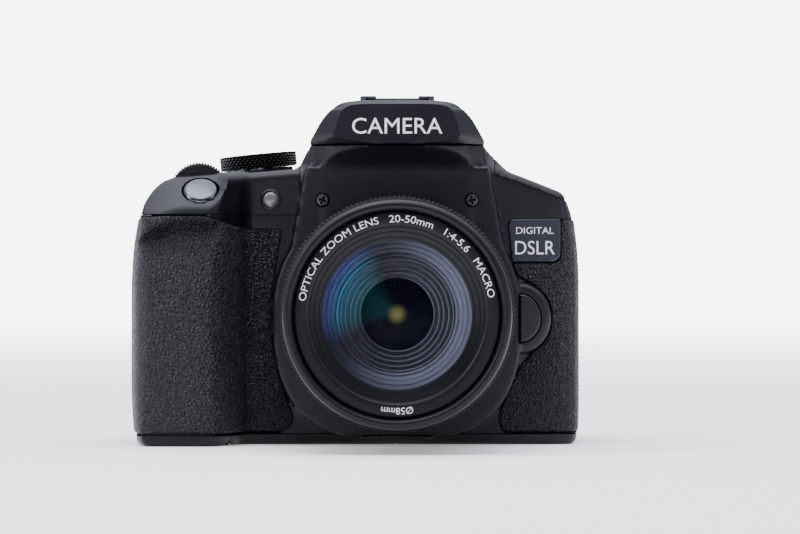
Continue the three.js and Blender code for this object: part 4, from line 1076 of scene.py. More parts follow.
def door_hole(at, low, high, side):
    """The opening for a side door: side is -1 on the grip's side and 1 on the other."""
    reach = (low[0] - 7, high[0] + 4) if side < 0 else (low[0] - 4, high[0] + 7)
    return brick(at, reach, (low[1] - 0.2, high[1] + 0.2), (low[2] - 0.2, high[2] + 0.2))


def lug_holes(at):
    """The holes that both strap lugs stand in."""
    made = None
    for side in ("right", "left"):
        low, high = span("strap_lug_" + side)
        one = brick(at, *zip(low - [8, GAP, GAP], high + [8, GAP, GAP]))
        made = one if made is None else either(made, one)
    return made


def knob_slot(at):
    """The slot of the dioptre wheel beside the eyepiece."""
    return brick(
        at, (KNOB_AT[0] - 5, KNOB_AT[0] + 2.3), (KNOB_LOW[1] - GAP, KNOB_HIGH[1] + GAP),
        (KNOB_LOW[2] - GAP, KNOB_HIGH[2] + GAP),
    )


def front_holes(at):
    """Lens throat, release button, preview button, both side doors and the strap lugs."""
    return (
        drum(at, THROAT_R, (-PANEL - 8, -NOSE_FRONT + 3)),
        both(along(at, RELEASE_HOLE, XZ), slab(at, 1, PANEL - 12, PANEL - 1.7)),
        button_hole(at, PREVIEW_AT, PREVIEW_AXIS, PREVIEW_R), door_hole(at, CARD_LOW, CARD_HIGH, -1),
        door_hole(at, PORT_LOW, PORT_HIGH, 1), lug_holes(at),
    )


def front_cover(at):
    """The shell in front of the split and up to the flash, with pockets for coverings and badge."""
    form = body_form(at)
    made = both(shell(at, form), past(at, 2, BASE + SEAM_GAP))
    made = without(made, top_zone(at, SEAM_GAP))
    low = both(up_to(at, 1, SPLIT - SEAM_GAP / 2), up_to(at, 2, SHOULDER - 1))
    high = both(up_to(at, 1, FLASH_BACK), slab(at, 0, -HUMP_FOOT, HUMP_FOOT))
    made = both(made, either(low, high))
    seats = [rod(at, c, (0, -1, 0), 2.1, (-1.5, 3.0)) for c in SCREW_AT]
    return without(
        made, *front_holes(at), *seats,
        recess(at, form, GRIP_SKIN, GRIP_FRONT - 5, CARD_LOW[1] - 0.8),
        recess(at, form, SIDE_SKIN, PANEL - 4, PANEL + 7),
        both(along(at, BADGE, XZ).taken_in(-0.2), up_to(at, 1, PANEL + 1)),
    )


def rear_cover(at):
    """The shell behind the split, with holes for the rear buttons, the finder and the thumb rest."""
    form = body_form(at)
    made = both(shell(at, form), past(at, 2, BASE + SEAM_GAP))
    made = without(made, top_zone(at, SEAM_GAP))
    low = both(past(at, 1, SPLIT + SEAM_GAP / 2), up_to(at, 2, SHOULDER - 1))
    high = both(past(at, 1, SPLIT + 2 + SEAM_GAP), slab(at, 0, -HUMP_FOOT - 1, HUMP_FOOT + 1))
    made = both(made, either(low, high))
    holes = []
    for name in REAR_BUTTONS + ("set_button",):
        c, half = middle(name)
        holes.append(rod(at, (c[0], REAR, c[2]), (0, 1, 0), half[0] + GAP, (-6.0, 6.0)))
    eye = brick(at, (-11, 11), (SPLIT, REAR + 9), (EYE_Z - 7.5, EYE_Z + 7.5), r=0.0)
    thumb = recess(at, form, THUMB_SKIN, REAR - 6, REAR + 3)
    return without(made, *holes, eye, knob_slot(at), lug_holes(at), thumb)


def top_cover(at):
    """The shell in the top zone, with holes for what stands on it."""
    form = body_form(at)
    made = both(both(shell(at, form), top_zone(at, 0.0)), past(at, 2, BASE))
    dial = brick(
        at, (MAIN_DIAL_AT[0] - 9.4, MAIN_DIAL_AT[0] + 9.4), (MAIN_DIAL_AT[1] - 2.8, MAIN_DIAL_AT[1] + 2.8),
        (MAIN_DIAL_AT[2] - 2, 200),
    )
    return without(
        made, button_hole(at, SHUTTER_AT, SHUTTER_AXIS, SHUTTER_R), dial,
        rod(at, MODE_AT, MODE_AXIS, MODE_STEM, (-8.0, 8.0)), button_hole(at, ISO_AT, (0, 0, 1), ISO_R),
        rod(at, LAMP_AT, (0, -1, 0), 2.5, (-4.0, 4.0)), knob_slot(at), lug_holes(at),
    )


def bottom_cover(at):
    """The shell below the base seam, with the battery door's and the tripod bush's openings."""
    made = both(shell(at, body_form(at)), up_to(at, 2, BASE))
    door = brick(
        at, (DOOR_LOW[0] - GAP, DOOR_HIGH[0] + GAP), (DOOR_LOW[1] - GAP, DOOR_HIGH[1] + GAP), (-2, BASE + 2)
    )
    centre = (SOCKET_LOW + SOCKET_HIGH) / 2
    return without(made, door, rod(at, centre, (0, 0, 1), SOCKET_HIGH[0] + GAP, (-6.0, 6.0)))


def seam_tongue(at):
    """A tongue inside the walls behind every seam of the covers, and a plate behind each strap lug, so that
    no light comes through a seam."""
    form = body_form(at)
    inside = both(form.taken_in(1.0), -form.taken_in(2.4))
    split = both(past(at, 1, SPLIT - 1.4), up_to(at, 1, SPLIT + 1.4))
    base = both(past(at, 2, BASE - 1.1), up_to(at, 2, BASE + 1.3))
    top = both(top_zone(at, 1.2), -top_zone(at, -1.2))
    made = both(inside, either(either(split, base), top))
    made = without(
        made, *front_holes(at), rod(at, MODE_AT, MODE_AXIS, MODE_STEM, (-8.0, 8.0)), knob_slot(at),
        up_to(at, 2, BASE - 1.0), brick(at, (-60, 60), (FLASH_BACK - 3, 200), (SHOULDER + 2, 200)),
    )
    for side in ("right", "left"):
        low, high = span("strap_lug_" + side)
        behind = (high[0] + 0.4, high[0] + 1.6) if side == "right" else (low[0] - 1.6, low[0] - 0.4)
        made = either(made, brick(at, behind, (low[1] - 2, high[1] + 2), (low[2] - 2, high[2] + 2)))
    return made


def skin(form_of, outline, y0, y1, rise):
    """A rubber covering: the form grown by its rise, inside an outline, its edge rolled over."""

    def field(at):
        form = form_of(at)
        made = both(form.taken_in(-rise), along(at, outline, XZ), 0.75)
        made = both(made, slab(at, 1, y0, y1), 0.4)
        return without(made, form.taken_in(SKIN_DEPTH - 0.1))

    return field


def make_covers():
    step = bpy.context.scene.camera_sizes.cover_step / MM
    for name, node, field, low, high in (
        ("front_shell", "front_cover", front_cover, FRONT_LOW, FRONT_HIGH),
        ("top_shell", "top_cover", top_cover, TOP_LOW, TOP_HIGH),
        ("rear_shell", "rear_cover", rear_cover, REAR_LOW, REAR_HIGH),
        ("base_shell", "bottom_cover", bottom_cover, BASE_LOW, BASE_HIGH),
    ):
        carve(name, field, low, high, step, "body", [node])
    low, high = np.minimum(FRONT_LOW, BASE_LOW), np.maximum(REAR_HIGH, TOP_HIGH)
    carve("cover_tongues", seam_tongue, low, high, step, "void")


def make_skins():
    sizes = bpy.context.scene.camera_sizes
    rise, step = sizes.skin_rise / MM, 0.85 * sizes.cover_step / MM
    low, high = span("grip_rubber")
    carve("grip_leather", skin(outer_form, GRIP_SKIN, GRIP_FRONT - 5, CARD_LOW[1] - 1, rise), low, high, step,
          "rubber", ["grip_rubber"])
    low, high = span("front_rubber")
    carve("side_leather", skin(main_block, SIDE_SKIN, PANEL - 4, PANEL + 6.8, rise), low, high, step,
          "rubber", ["front_rubber"])
    carve("thumb_leather", skin(main_block, THUMB_SKIN, REAR - 5.8, REAR + 3, rise), THUMB_LOW, THUMB_HIGH,
          step, "rubber", ["thumb_rubber"])


# ---------------------------------------------------------------- small shared shapes


def block_at(at, centre, turn, low, high, r=0.0):
    """A box turned in degrees about X, then Y, then Z, between low and high places from its centre."""
    matrix = np.array(Euler(np.radians(turn), "XYZ").to_matrix())
    made = None
    for k in range(3):
        n = matrix[:, k]
        ends = both(leaning(at, n, np.array(centre) + n * high[k]),
                    leaning(at, -n, np.array(centre) + n * low[k]))
        made = ends if made is None else both(made, ends, r)
    return made


def press_cap(r, depth=3.4, rise=0.9, dish=0.18):
    """A button about Z: straight sides, a rolled edge and a face dished towards its middle."""
    return turned([[0, -depth], [r, -depth], [r, rise - 0.15, 0.3], [r - 0.45, rise, 0.35],
                   [0.5 * r, rise - dish, 1], [0, rise - dish]], 48)


def ribs(count, depth, from_r, share=0.5):
    """Takes a wave of count ribs off every radius past from_r: depth times a cosine raised towards square."""

    def cut(a, r, h):
        wave = 0.5 - 0.5 * np.cos(count * a)
        return np.where(r > from_r, depth * np.clip((wave - share) / (1 - share) + 0.25, 0, 1), 0)

    return cut


def ribbed_wheel(r, half, bevel, soft, count, depth, from_r):
    """A flat wheel about Z with ribs round its rim. The bevel of its edges goes that far in and down."""
    inward, down = bevel
    side = [[r - inward, -half, soft], [r, down - half, soft], [r, half - down, soft],
            [r - inward, half, soft]]
    return turned([[0, -half], *side, [0, half]], count * 8, ribs(count, depth, from_r, 0.3))


def diamonds(count, pitch, depth, from_r, low, high):
    """Two sets of slanting grooves that cross: each is deepest where count turns of the angle plus or minus
    the height over the pitch is whole."""

    def cut(a, r, h):
        turn = count * a / (2 * np.pi)
        one = np.abs((turn + h / pitch) % 1 - 0.5) * 2
        two = np.abs((turn - h / pitch) % 1 - 0.5) * 2
        groove = np.clip((np.maximum(one, two) - 0.45) / 0.5, 0, 1)
        edge = np.clip((h - low) / 0.25, 0, 1) * np.clip((high - h) / 0.25, 0, 1)
        return np.where(r > from_r, depth * groove * edge, 0)

    return cut


def lettering(name, words, height, width, place, body):
    """Raised ink: flat letters, scaled to a cap height and a width, then carried to the surface by
    place(u, v, w), where w is the height of the film."""
    curve = bpy.data.curves.new(name, "FONT")
    curve.body = words
    curve.align_x, curve.align_y = "LEFT", "BOTTOM_BASELINE"
    curve.extrude, curve.resolution_u = 0.02, 4
    maker = bpy.data.objects.new(name + "_maker", curve)
    bpy.context.scene.collection.objects.link(maker)
    mesh = bpy.data.meshes.new_from_object(maker.evaluated_get(bpy.context.evaluated_depsgraph_get()))
    bpy.data.objects.remove(maker)
    co = np.empty(len(mesh.vertices) * 3, np.float32)
    mesh.vertices.foreach_get("co", co)
    co = co.reshape(-1, 3).astype(float)
    low, high = co.min(0), co.max(0)
    scale = (width / (high[0] - low[0]) if width else height / 0.7, height / 0.7)
    u = (co[:, 0] - (low[0] + high[0]) / 2) * scale[0]
    v = co[:, 1] * scale[1]
    w = np.where(co[:, 2] > 0, 0.06, -0.1)
    placed = np.stack(np.broadcast_arrays(*place(u, v, w)), -1) * MM
    mesh.vertices.foreach_set("co", placed.astype(np.float32).ravel())
    made = bmesh.new()
    made.from_mesh(mesh)
    bmesh.ops.remove_doubles(made, verts=made.verts, dist=1e-7)
    bmesh.ops.recalc_face_normals(made, faces=made.faces)
    made.to_mesh(mesh)
    made.free()
    mesh.materials.clear()
    mesh.materials.append(LOOKS["ink"])
    piece = bpy.data.objects.new(name, mesh)
    bpy.context.scene.collection.objects.link(piece)
    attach(piece, body)


def facing_front(x, z, y):
    """Carries letters to a face that looks forward: y is its place, or a function of x and z."""
    return lambda u, v, w: (x + u, (y(x + u, z + v) if callable(y) else y) - w, z + v)


def facing_rear(x, z, y):
    """Carries letters to a face that looks back."""
    return lambda u, v, w: (x - u, y + w, z + v)


# ---------------------------------------------------------------- trim on the body


def make_badge():
    """The badge plate with two rows of raised words."""
    body = "camera_body"
    low, high = [BADGE_LEFT - 1, PANEL - 1, BADGE_Z[0] - 1], [BADGE_RIGHT + 1, PANEL + 2, BADGE_Z[1] + 1]

    def badge(at):
        return both(along(at, BADGE, XZ), brick(at, (0, 200), (PANEL - 0.35, PANEL + 0.9), (0, 200)), 0.3)

    carve("badge", badge, low, high, 0.3, "badge", ["badge_plate"], body=body)
    x = (BADGE_LEFT + BADGE_RIGHT) / 2 + 0.3
    face = PANEL - 0.35
    lettering("badge_small_words", "DIGITAL", 2.0, 11.0, facing_front(x, BADGE_Z[1] - 4.2, face), body)
    lettering("badge_words", "DSLR", 4.0, 11.6, facing_front(x, BADGE_Z[0] + 2.2, face), body)


def make_lamp():
    """The lamp's dome and the bezel round it."""
    dome = turned([[0, -2], [2.2, -2], [2.2, 0.1, 0.2], [1.5, 0.55, 0.5], [0, 0.7]], 40)
    lathe("timer_lamp", put(dome, LAMP_AT, (90, 0, 0)), "lamp", ["self_timer_lamp"])
    bezel = turned([[2.28, -1.5], [3.1, -1.5], [3.1, 0.05, 0.1], [2.75, 0.3, 0.2], [2.28, 0.1, 0.1]], 48)
    lathe("lamp_bezel", put(bezel, LAMP_AT, (90, 0, 0)), "control")


def make_screws():
    """Two cross-head screws, sunk a little into the mount housing."""
    for name, node, centre, lean in (("screw_right", "front_screw_right", SCREW_AT[0], 24),
                                     ("screw_left", "front_screw_left", SCREW_AT[1], -12)):

        def screw(at, centre=centre, lean=lean):
            head = rod(at, centre, (0, -1, 0), 1.75, (-2.6, -0.1), 0.35)
            bars = [block_at(at, centre, (0, lean + t, 0), (-1.25, -1, -0.34), (1.25, 2.1, 0.34))
                    for t in (0, 90)]
            return without(head, *bars)

        carve(name, screw, centre - [2, 0.2, 2], centre + [2, 2.8, 2], 0.14, "black_metal", [node])


def make_lugs():
    """Two strap lugs: a slotted tab of steel each."""
    for side in ("right", "left"):
        low, high = span("strap_lug_" + side)

        def lug(at, low=low, high=high):
            tab = brick(at, *zip(low, high), r=0.4)
            slot = brick(at, (low[0] - 3, high[0] + 3), (low[1] + 1.6, high[1] - 1.6),
                         (low[2] + 2.5, high[2] - 1.8))
            return without(tab, slot, r=0.3)

        carve("lug_" + side, lug, low, high, 0.3, "steel", ["strap_lug_" + side])


def make_shoe():
    """The accessory shoe: a block with a slot and a narrower mouth above it, and five contacts on its
    floor."""
    low, high = span("hot_shoe")
    base = low[2]

    def shoe(at):
        block = brick(at, (-11, 11), (low[1], high[1]), (base, high[2]), r=0.35)
        slot = brick(at, (-9.4, 9.4), (low[1] - 3, high[1] - 1.2), (base + 0.7, high[2] - 0.7))
        mouth = brick(at, (-6.3, 6.3), (low[1] - 3, high[1] - 1.2), (base + 0.7, high[2] + 3))
        return without(block, slot, mouth)

    carve("accessory_shoe", shoe, low, high, 0.28, "steel", ["hot_shoe"])
    pads = [put(turned([[0, -0.4], [1.0, -0.4], [1.0, 0.18, 0.15], [0, 0.25]], 20), (x, y, base + 0.7))
            for x, y in ((0, -5.0), (-3.4, -8.6), (3.4, -8.6), (-3.4, -1.4), (3.4, -1.4))]
    lathe("shoe_contacts", together(*pads), "black_metal")


def make_tripod_bush():
    """A steel bush whose bore has a thread: a triangle wave that climbs one pitch a turn."""
    centre = (SOCKET_LOW + SOCKET_HIGH) / 2
    rows = np.linspace(SOCKET_LOW[2] + 0.3, SOCKET_HIGH[2] - 0.3, 36)
    profile = [[8.0, SOCKET_LOW[2], 0.3], [8.0, SOCKET_HIGH[2], 0.2], [3.3, SOCKET_HIGH[2]]]
    profile += [[3.2, z] for z in rows[::-1]] + [[3.5, SOCKET_LOW[2], 0.2]]

    def thread(a, r, h):
        wave = np.abs((h / TRIPOD_PITCH - a / (2 * np.pi)) % 1 - 0.5) * 2
        return np.where(r < 3.25, 0.35 * wave - 0.35, 0)

    lathe("tripod_bush", put(turned(profile, 64, thread), (centre[0], centre[1], 0)), "steel",
          ["tripod_socket"])


def make_mount_flange():
    """The steel ring that the lens stands on."""
    ring = [[MOUNT_HIGH[0] - 4.5, NOSE_FRONT - 0.3], [MOUNT_HIGH[0], NOSE_FRONT - 0.3, 0.2],
            [MOUNT_HIGH[0], FLANGE, 0.4], [27.0, FLANGE, 0.3]]
    lathe("mount_flange", spun(ring, 128), "steel", ["body_mount_ring"])


def make_eyepiece():
    """The rubber cup, waisted by a bell curve near its foot, and the glass inside it."""
    low, high = span("eyecup")
    outer, inner = eye_outline(17, 12, 6), eye_outline(12, 8, 3.5)

    def cup(at):
        waist = 1.1 * np.exp(-(((at.axes[1] - (low[1] + 2.4)) / 1.3) ** 2))
        wall = along(at, outer, XZ)
        wall = Field(wall.d + waist, wall.g)
        ends = both(past(at, 1, low[1]), up_to(at, 1, high[1]))
        return without(both(wall, ends, 1.3), along(at, inner, XZ), r=1.0)

    carve("eye_cup", cup, low, high, 0.5, "rubber", ["eyecup"])
    low, high = span("eyepiece_lens")
    carve("eyepiece_glass", plain_box(low, high, 1.6), low, high, 0.4, "eyepiece_glass", ["eyepiece_lens"])


def make_trim():
    """Everything small that stands still on the body."""
    make_badge()
    make_lamp()
    make_screws()
    make_lugs()
    make_shoe()
    make_tripod_bush()
    make_mount_flange()
    make_eyepiece()


# ---------------------------------------------------------------- controls


def make_shutter_button():
    """A domed plated cap in a collar, both leaning forward."""
    cap = turned([[0, -3.4], [SHUTTER_R, -3.4], [SHUTTER_R, 0.7, 0.4], [4.5, 1.55, 0.6], [2.4, 1.82, 1],
                  [0, 1.85]], 72, None, 6)
    lathe("release_cap", put(cap, SHUTTER_AT, SHUTTER_TURN), "shutter", ["shutter_button"],
          body="shutter_button", sharp=50)
    collar = turned([[5.3, -1.6], [6.7, -1.6], [6.6, 0.15, 0.3], [6.0, 0.5, 0.3], [5.42, 0.1, 0.2]], 72)
    lathe("release_collar", put(collar, SHUTTER_AT, SHUTTER_TURN), "control")


def make_main_dial():
    """The ribbed wheel behind the shutter button, its axis along Y."""
    low, high = span("main_dial")
    half = (high[1] - low[1]) / 2
    r = (high[0] - low[0]) / 2
    wheel = ribbed_wheel(r, half, (0.9, 0.6), 0.4, 60, 0.4, r - 0.6)
    lathe("front_wheel", put(wheel, MAIN_DIAL_AT, (90, 0, 0)), "control", ["main_dial"], body="main_dial")


def make_mode_dial():
    """A knurled knob that leans to the side, with a letter for each mode round its top."""
    knurls = bpy.context.scene.camera_sizes.dial_knurls
    low, high = 1.5, 5.6
    rows = np.linspace(low + 0.1, high - 0.15, 30)
    side = [[11.4, z] for z in rows]
    knob = turned([[0, -5], [4, -5], [4, low, 0.2], [10.9, low, 0.2]] + side
                  + [[11.0, high, 0.2], [9.6, high, 0.2], [9.4, high - 0.25, 0.1], [0, high - 0.25]],
                  knurls * 8, diamonds(knurls, 1.5, 0.8, 11.1, low, high), 2)
    lathe("mode_wheel", put(knob, MODE_AT, MODE_TURN), "control", ["mode_dial"], body="mode_dial", sharp=40)
    matrix = np.array(Euler(np.radians(MODE_TURN), "XYZ").to_matrix())
    marks = ("AUTO", "P", "S", "A", "M", "B", "SCN", "1")
    for k, word in enumerate(marks):
        turn = 2 * np.pi * k / len(marks) + np.pi / 2

        def place(u, v, w, turn=turn):
            a, r = turn - u / 7.2, 6.6 + v
            local = np.stack([r * np.cos(a), r * np.sin(a), high - 0.25 + w], -1) @ matrix.T + MODE_AT
            return local[:, 0], local[:, 1], local[:, 2]

        lettering(f"mode_mark_{k + 1}", word, 1.7, 1.15 * len(word) * (0.9 if len(word) > 1 else 1.2), place,
                  "mode_dial")


def make_power_lever():
    """A flat disc under the mode dial with a tab that has three ridges."""

    def lever(at):
        disc = rod(at, MODE_AT, MODE_AXIS, 10, (0.35, 1.15), 0.2)
        tab = block_at(at, MODE_AT, MODE_TURN, (-2, -14, 0.35), (2, -6, 1.15), 0.2)
        made = either(disc, tab)
        for x in (-1, 0, 1):
            ridge = block_at(at, MODE_AT, MODE_TURN, (x - 0.2, -13.7, 0.95), (x + 0.2, -11.6, 1.35))
            made = either(made, ridge)
        return without(made, rod(at, MODE_AT, MODE_AXIS, MODE_STEM, (-5.0, 5.0)))

    box_low, box_high = span("power_switch")
    carve("power_lever", lever, box_low, box_high, 0.28, "black_metal", ["power_switch"], body="power_switch")


def make_front_buttons():
    """The button behind the main dial, the lens release with grooves across it, and the preview button."""
    lathe("iso_cap", put(press_cap(ISO_R), ISO_AT), "control", ["iso_button"], body="iso_button")
    low, high = span("lens_release_button")

    def release(at):
        made = both(along(at, RELEASE_CAP, XZ), brick(at, (0, 200), (low[1], high[1]), (0, 200)), 0.7)
        for z in np.linspace(-6.2, 6.2, 11):
            made = without(made, rod(at, (RELEASE[0] + 0.1, 0, RELEASE[1] + z), (0, 1, 0), 0.48))
        return made

    carve("release_button", release, low, high, 0.26, "control", ["lens_release_button"],
          body="lens_release_button")
    lathe("preview_cap", put(press_cap(PREVIEW_R), PREVIEW_AT, (0, 90 - PREVIEW_DEG, 0)), "control",
          ["depth_preview_button"], body="depth_preview_button")


def make_rear_controls():
    """Eight buttons, the centre button, the ribbed dial round it, and the dioptre wheel, whose axis is along
    X."""
    for name in REAR_BUTTONS:
        c, half = middle(name)
        lathe(name + "_cap", put(press_cap(half[0]), (c[0], REAR, c[2]), (-90, 0, 0)), "control", [name],
              body=name)
    c, half = middle("set_button")
    lathe("set_cap", put(press_cap(half[0], dish=0.4), (c[0], REAR, c[2]), (-90, 0, 0)), "control",
          ["set_button"], body="set_button")
    r = (QUICK_HIGH[0] - QUICK_LOW[0]) / 2
    dial = turned([[6.4, 0.3], [r, 0.3, 0.2], [r, 1.3, 0.5], [r - 1.3, 2.1, 0.5], [r - 3, 2.0, 0.6],
                   [7.2, 1.7, 0.5], [6.4, 1.2, 0.3]], 60 * 8, ribs(60, 0.35, r - 1.0, 0.3))
    lathe("rear_wheel", put(dial, QUICK_AT, (-90, 0, 0)), "control", ["quick_dial"], body="quick_dial")
    low, high = span("diopter_knob")
    half, r = (high[0] - low[0]) / 2, (high[2] - low[2]) / 2
    knob = ribbed_wheel(r, half, (0.5, 0.4), 0.3, 30, 0.35, r - 0.4)
    lathe("diopter_wheel", put(knob, KNOB_AT, (0, 90, 0)), "control", ["diopter_knob"], body="diopter_knob")


def make_rear_words():
    """A plain word beside each rear button: button, word, and how far above the button's middle it stands."""
    words = (("menu_button", "MENU", -4.6), ("info_button", "INFO", -4.6), ("play_button", "PLAY", 4.0),
             ("erase_button", "DEL", 4.0), ("live_view_button", "LIVE", 4.3), ("af_on_button", "AF", 4.0),
             ("ae_lock_button", "AE", 3.8), ("af_point_button", "+", 3.8))
    for node, word, lift in words:
        c, _ = middle(node)
        lettering(node + "_word", word, 1.35, None, facing_rear(c[0], c[2] + lift, REAR),
                  "camera_body")


def make_controls():
    """Everything that is turned or pressed by hand, but for the doors and the lens."""
    make_shutter_button()
    make_main_dial()
    make_mode_dial()
    make_power_lever()
    make_front_buttons()
    make_rear_controls()
    make_rear_words()


# ---------------------------------------------------------------- flash

FLASH_FRONT = Outline([
    [-25.4, FLASH_LOW[2]], [25.4, FLASH_LOW[2]], [25.4, FLASH_LOW[2] + 0.9, 1], [21.4, HUMP_TOP - 4.7, 3],
    [16.8, HUMP_TOP - 0.7, 2], [10.5, HUMP_TOP, 1], [-10.5, HUMP_TOP, 1], [-16.8, HUMP_TOP - 0.7, 2],
    [-21.4, HUMP_TOP - 4.7, 3], [-25.4, FLASH_LOW[2] + 0.9, 1],
])
FLASH_FACE = Outline([
    [-18.4, FLASH_LOW[2] + 2.1, 1], [-10.7, FLASH_LOW[2] + 0.4, 3], [0, FLASH_LOW[2] - 0.2, 4],
    [10.7, FLASH_LOW[2] + 0.4, 3], [18.4, FLASH_LOW[2] + 2.1, 1], [16.6, HUMP_TOP - 3.8, 2],
    [14.4, HUMP_TOP - 1.6, 2], [9.4, HUMP_TOP - 1.2, 2], [-9.4, HUMP_TOP - 1.2, 2],
    [-14.4, HUMP_TOP - 1.6, 2], [-16.6, HUMP_TOP - 3.8, 2],
])
FACE_LEAN = 0.1
FACE_BOW = 0.0028
# How fast the head falls back past its flat face, over its top edge and at its sides.
FALL_TOP, FALL_SIDE = 2.3, 1.25


def face_line(x, z):
    """The flash's front face: leans back with height and bows back with the square of X."""
    return FLASH_LOW[1] + 0.15 + FACE_LEAN * (z - FLASH_LOW[2]) + FACE_BOW * x * x


def flash_form(at):
    """The head's silhouette, cut back in front: past its flat face's outline it falls back by a slope."""
    x, y, z = at.axes
    face = along(at, FLASH_FACE, XZ)
    slope = np.where(z > HUMP_TOP - 2.4, FALL_TOP, FALL_SIDE)
    back = np.maximum(face.d, 0)
    c = 1 / np.sqrt(1 + np.where(face.d > 0, slope**2, 0.01))
    d = (face_line(x, z) + slope * back - y) * c
    g = None
    if at.slopes:
        on = (face.d > 0) * slope
        g = np.stack([(2 * FACE_BOW * x + on * face.g[0]) * c, -c, (FACE_LEAN + on * face.g[2]) * c])
    front = Field(d, g)
    made = both(along(at, FLASH_FRONT, XZ), up_to(at, 1, FLASH_HIGH[1]), 0.4)
    return both(made, front, 0.25)


def make_flash():
    def head(at):
        well = brick(at, (-18, 18), (LIP + 4.5, FLASH_HIGH[1] - 2.2), (FLASH_LOW[2] - 2, HUMP_TOP - 3))
        return without(flash_form(at), well)

    carve("flash_cap", head, FLASH_LOW, FLASH_HIGH, 0.6, "body", ["flash_head"], body="flash", sharp=24)
    low, high = span("flash_window")
    carve("flash_lens", plain_box(low, high, 0.8), low, high, 0.5, "window", ["flash_window"], body="flash")
    lettering("flash_words", "CAMERA", 4.6, 26.0, facing_front(0, FLASH_LOW[2] + 2.9, face_line), "flash")


# ---------------------------------------------------------------- screen and doors


def make_screen():
    low, high = SCREEN_LOW, SCREEN_HIGH
    edge = Outline([[low[0], low[2], 3.4], [high[0], low[2], 2], [high[0], high[2], 2],
                    [low[0], high[2], 3.4]])
    window = Outline([
        [low[0] + 2.5, low[2] + 2.5, 1.2], [high[0] - 2.5, low[2] + 2.5, 1.2],
        [high[0] - 2.5, high[2] - 2.5, 1.2], [low[0] + 2.5, high[2] - 2.5, 1.2],
    ])

    def housing(at):
        made = both(along(at, edge, XZ), slab(at, 1, low[1], high[1]), 0.7)
        return without(made, both(along(at, window, XZ), past(at, 1, high[1] - 1.4)))

    carve("screen_frame", housing, low, high, 0.6, "body", ["screen_housing"], body="screen")

    def pane(at):
        return both(along(at, window, XZ).taken_in(0.15), slab(at, 1, high[1] - 1.1, high[1]), 0.25)

    carve("screen_pane", pane, low, high, 0.6, "panel", ["screen_glass"], body="screen")
    low, high = span("screen_hinge")
    x, y = high[0] - 3.1, high[1] - 3.1

    def hinge(at):
        barrel = rod(at, (x, y, 0), (0, 0, 1), 3.1, (low[2], high[2]), 0.5)
        arm = brick(at, (low[0], x), (SCREEN_LOW[1] + 1, y + 1.6), (low[2] + 9, high[2] - 9), r=0.5)
        made = either(barrel, arm, 0.5)
        for z in (low[2] + 8.5, high[2] - 8.5):
            joint = without(rod(at, (x, y, 0), (0, 0, 1), 4, (z - 0.25, z + 0.25)),
                            rod(at, (x, y, 0), (0, 0, 1), 2.6))
            made = without(made, joint)
        return made

    carve("screen_pivot", hinge, low, high, 0.4, "body", ["screen_hinge"], body="screen")


def door_skin(at, x, low, high):
    """The body's outer wall between two places on X and a door's own ends, its rim rounded."""
    form = main_block(at)
    return both(both(form, -form.taken_in(1.5)), brick(at, x, (low[1], high[1]), (low[2], high[2])), 0.35)


def make_side_doors():
    """The split terminal flap with a notch for a nail, and the card door with a row of grip grooves."""

    def port(at):
        mid = (PORT_LOW[2] + PORT_HIGH[2]) / 2
        split = both(past(at, 0, RIGHT - 0.35), slab(at, 2, mid - 0.2, mid + 0.2))
        notch = both(rod(at, (RIGHT + 0.9, PORT_HIGH[1], mid + 9), (1, 0, 0), 1.6), past(at, 0, RIGHT - 0.8))
        return without(door_skin(at, (40, 200), PORT_LOW, PORT_HIGH), split, notch)

    carve("port_flap", port, PORT_LOW, PORT_HIGH, 0.5, "flap", ["terminal_cover"], body="terminal_cover")

    def card(at):
        grip = [brick(at, (-200, LEFT + 0.4), (CARD_HIGH[1] - 3.4, CARD_HIGH[1] - 1.2), (z - 0.35, z + 0.35))
                for z in np.linspace(31, 43, 7)]
        return without(door_skin(at, (-200, -40), CARD_LOW, CARD_HIGH), *grip)

    carve("card_flap", card, CARD_LOW, CARD_HIGH, 0.4, "body", ["card_door"], body="card_door")


def make_panels():
    """What shows behind the open side doors: three sockets, and the slot for a card."""
    low, high = np.array([RIGHT - 5.4, *PORT_LOW[1:] - 1.2]), np.array([RIGHT - 4.0, *PORT_HIGH[1:] + 1.2])

    def port_panel(at):
        made = brick(at, *zip(low, high), r=0.2)
        middle_y = (low[1] + high[1]) / 2
        deep = (high[0] - 0.9, high[0] + 1)
        jack = rod(at, (high[0], middle_y, low[2] + 34), (1, 0, 0), 1.8, (-0.9, 1.0))
        wide = brick(at, deep, (middle_y - 1.4, middle_y + 1.4), (low[2] + 20.5, low[2] + 29), r=0.6)
        flat = brick(at, deep, (middle_y - 1.7, middle_y + 1.7), (low[2] + 6, low[2] + 17), r=0.4)
        return without(made, jack, wide, flat)

    carve("port_panel", port_panel, low, high, 0.35, "black_metal")
    inner, outer = np.array([LEFT + 5.2, *CARD_LOW[1:] - 1.0]), np.array([LEFT + 6.6, *CARD_HIGH[1:] + 1.0])

    def card_panel(at):
        made = brick(at, *zip(inner, outer), r=0.2)
        slot = brick(at, (inner[0] - 1, inner[0] + 0.9), (-1.2, 1.4), (inner[2] + 5, outer[2] - 5), r=0.2)
        return without(made, slot)

    carve("card_panel", card_panel, inner, outer, 0.35, "black_metal")


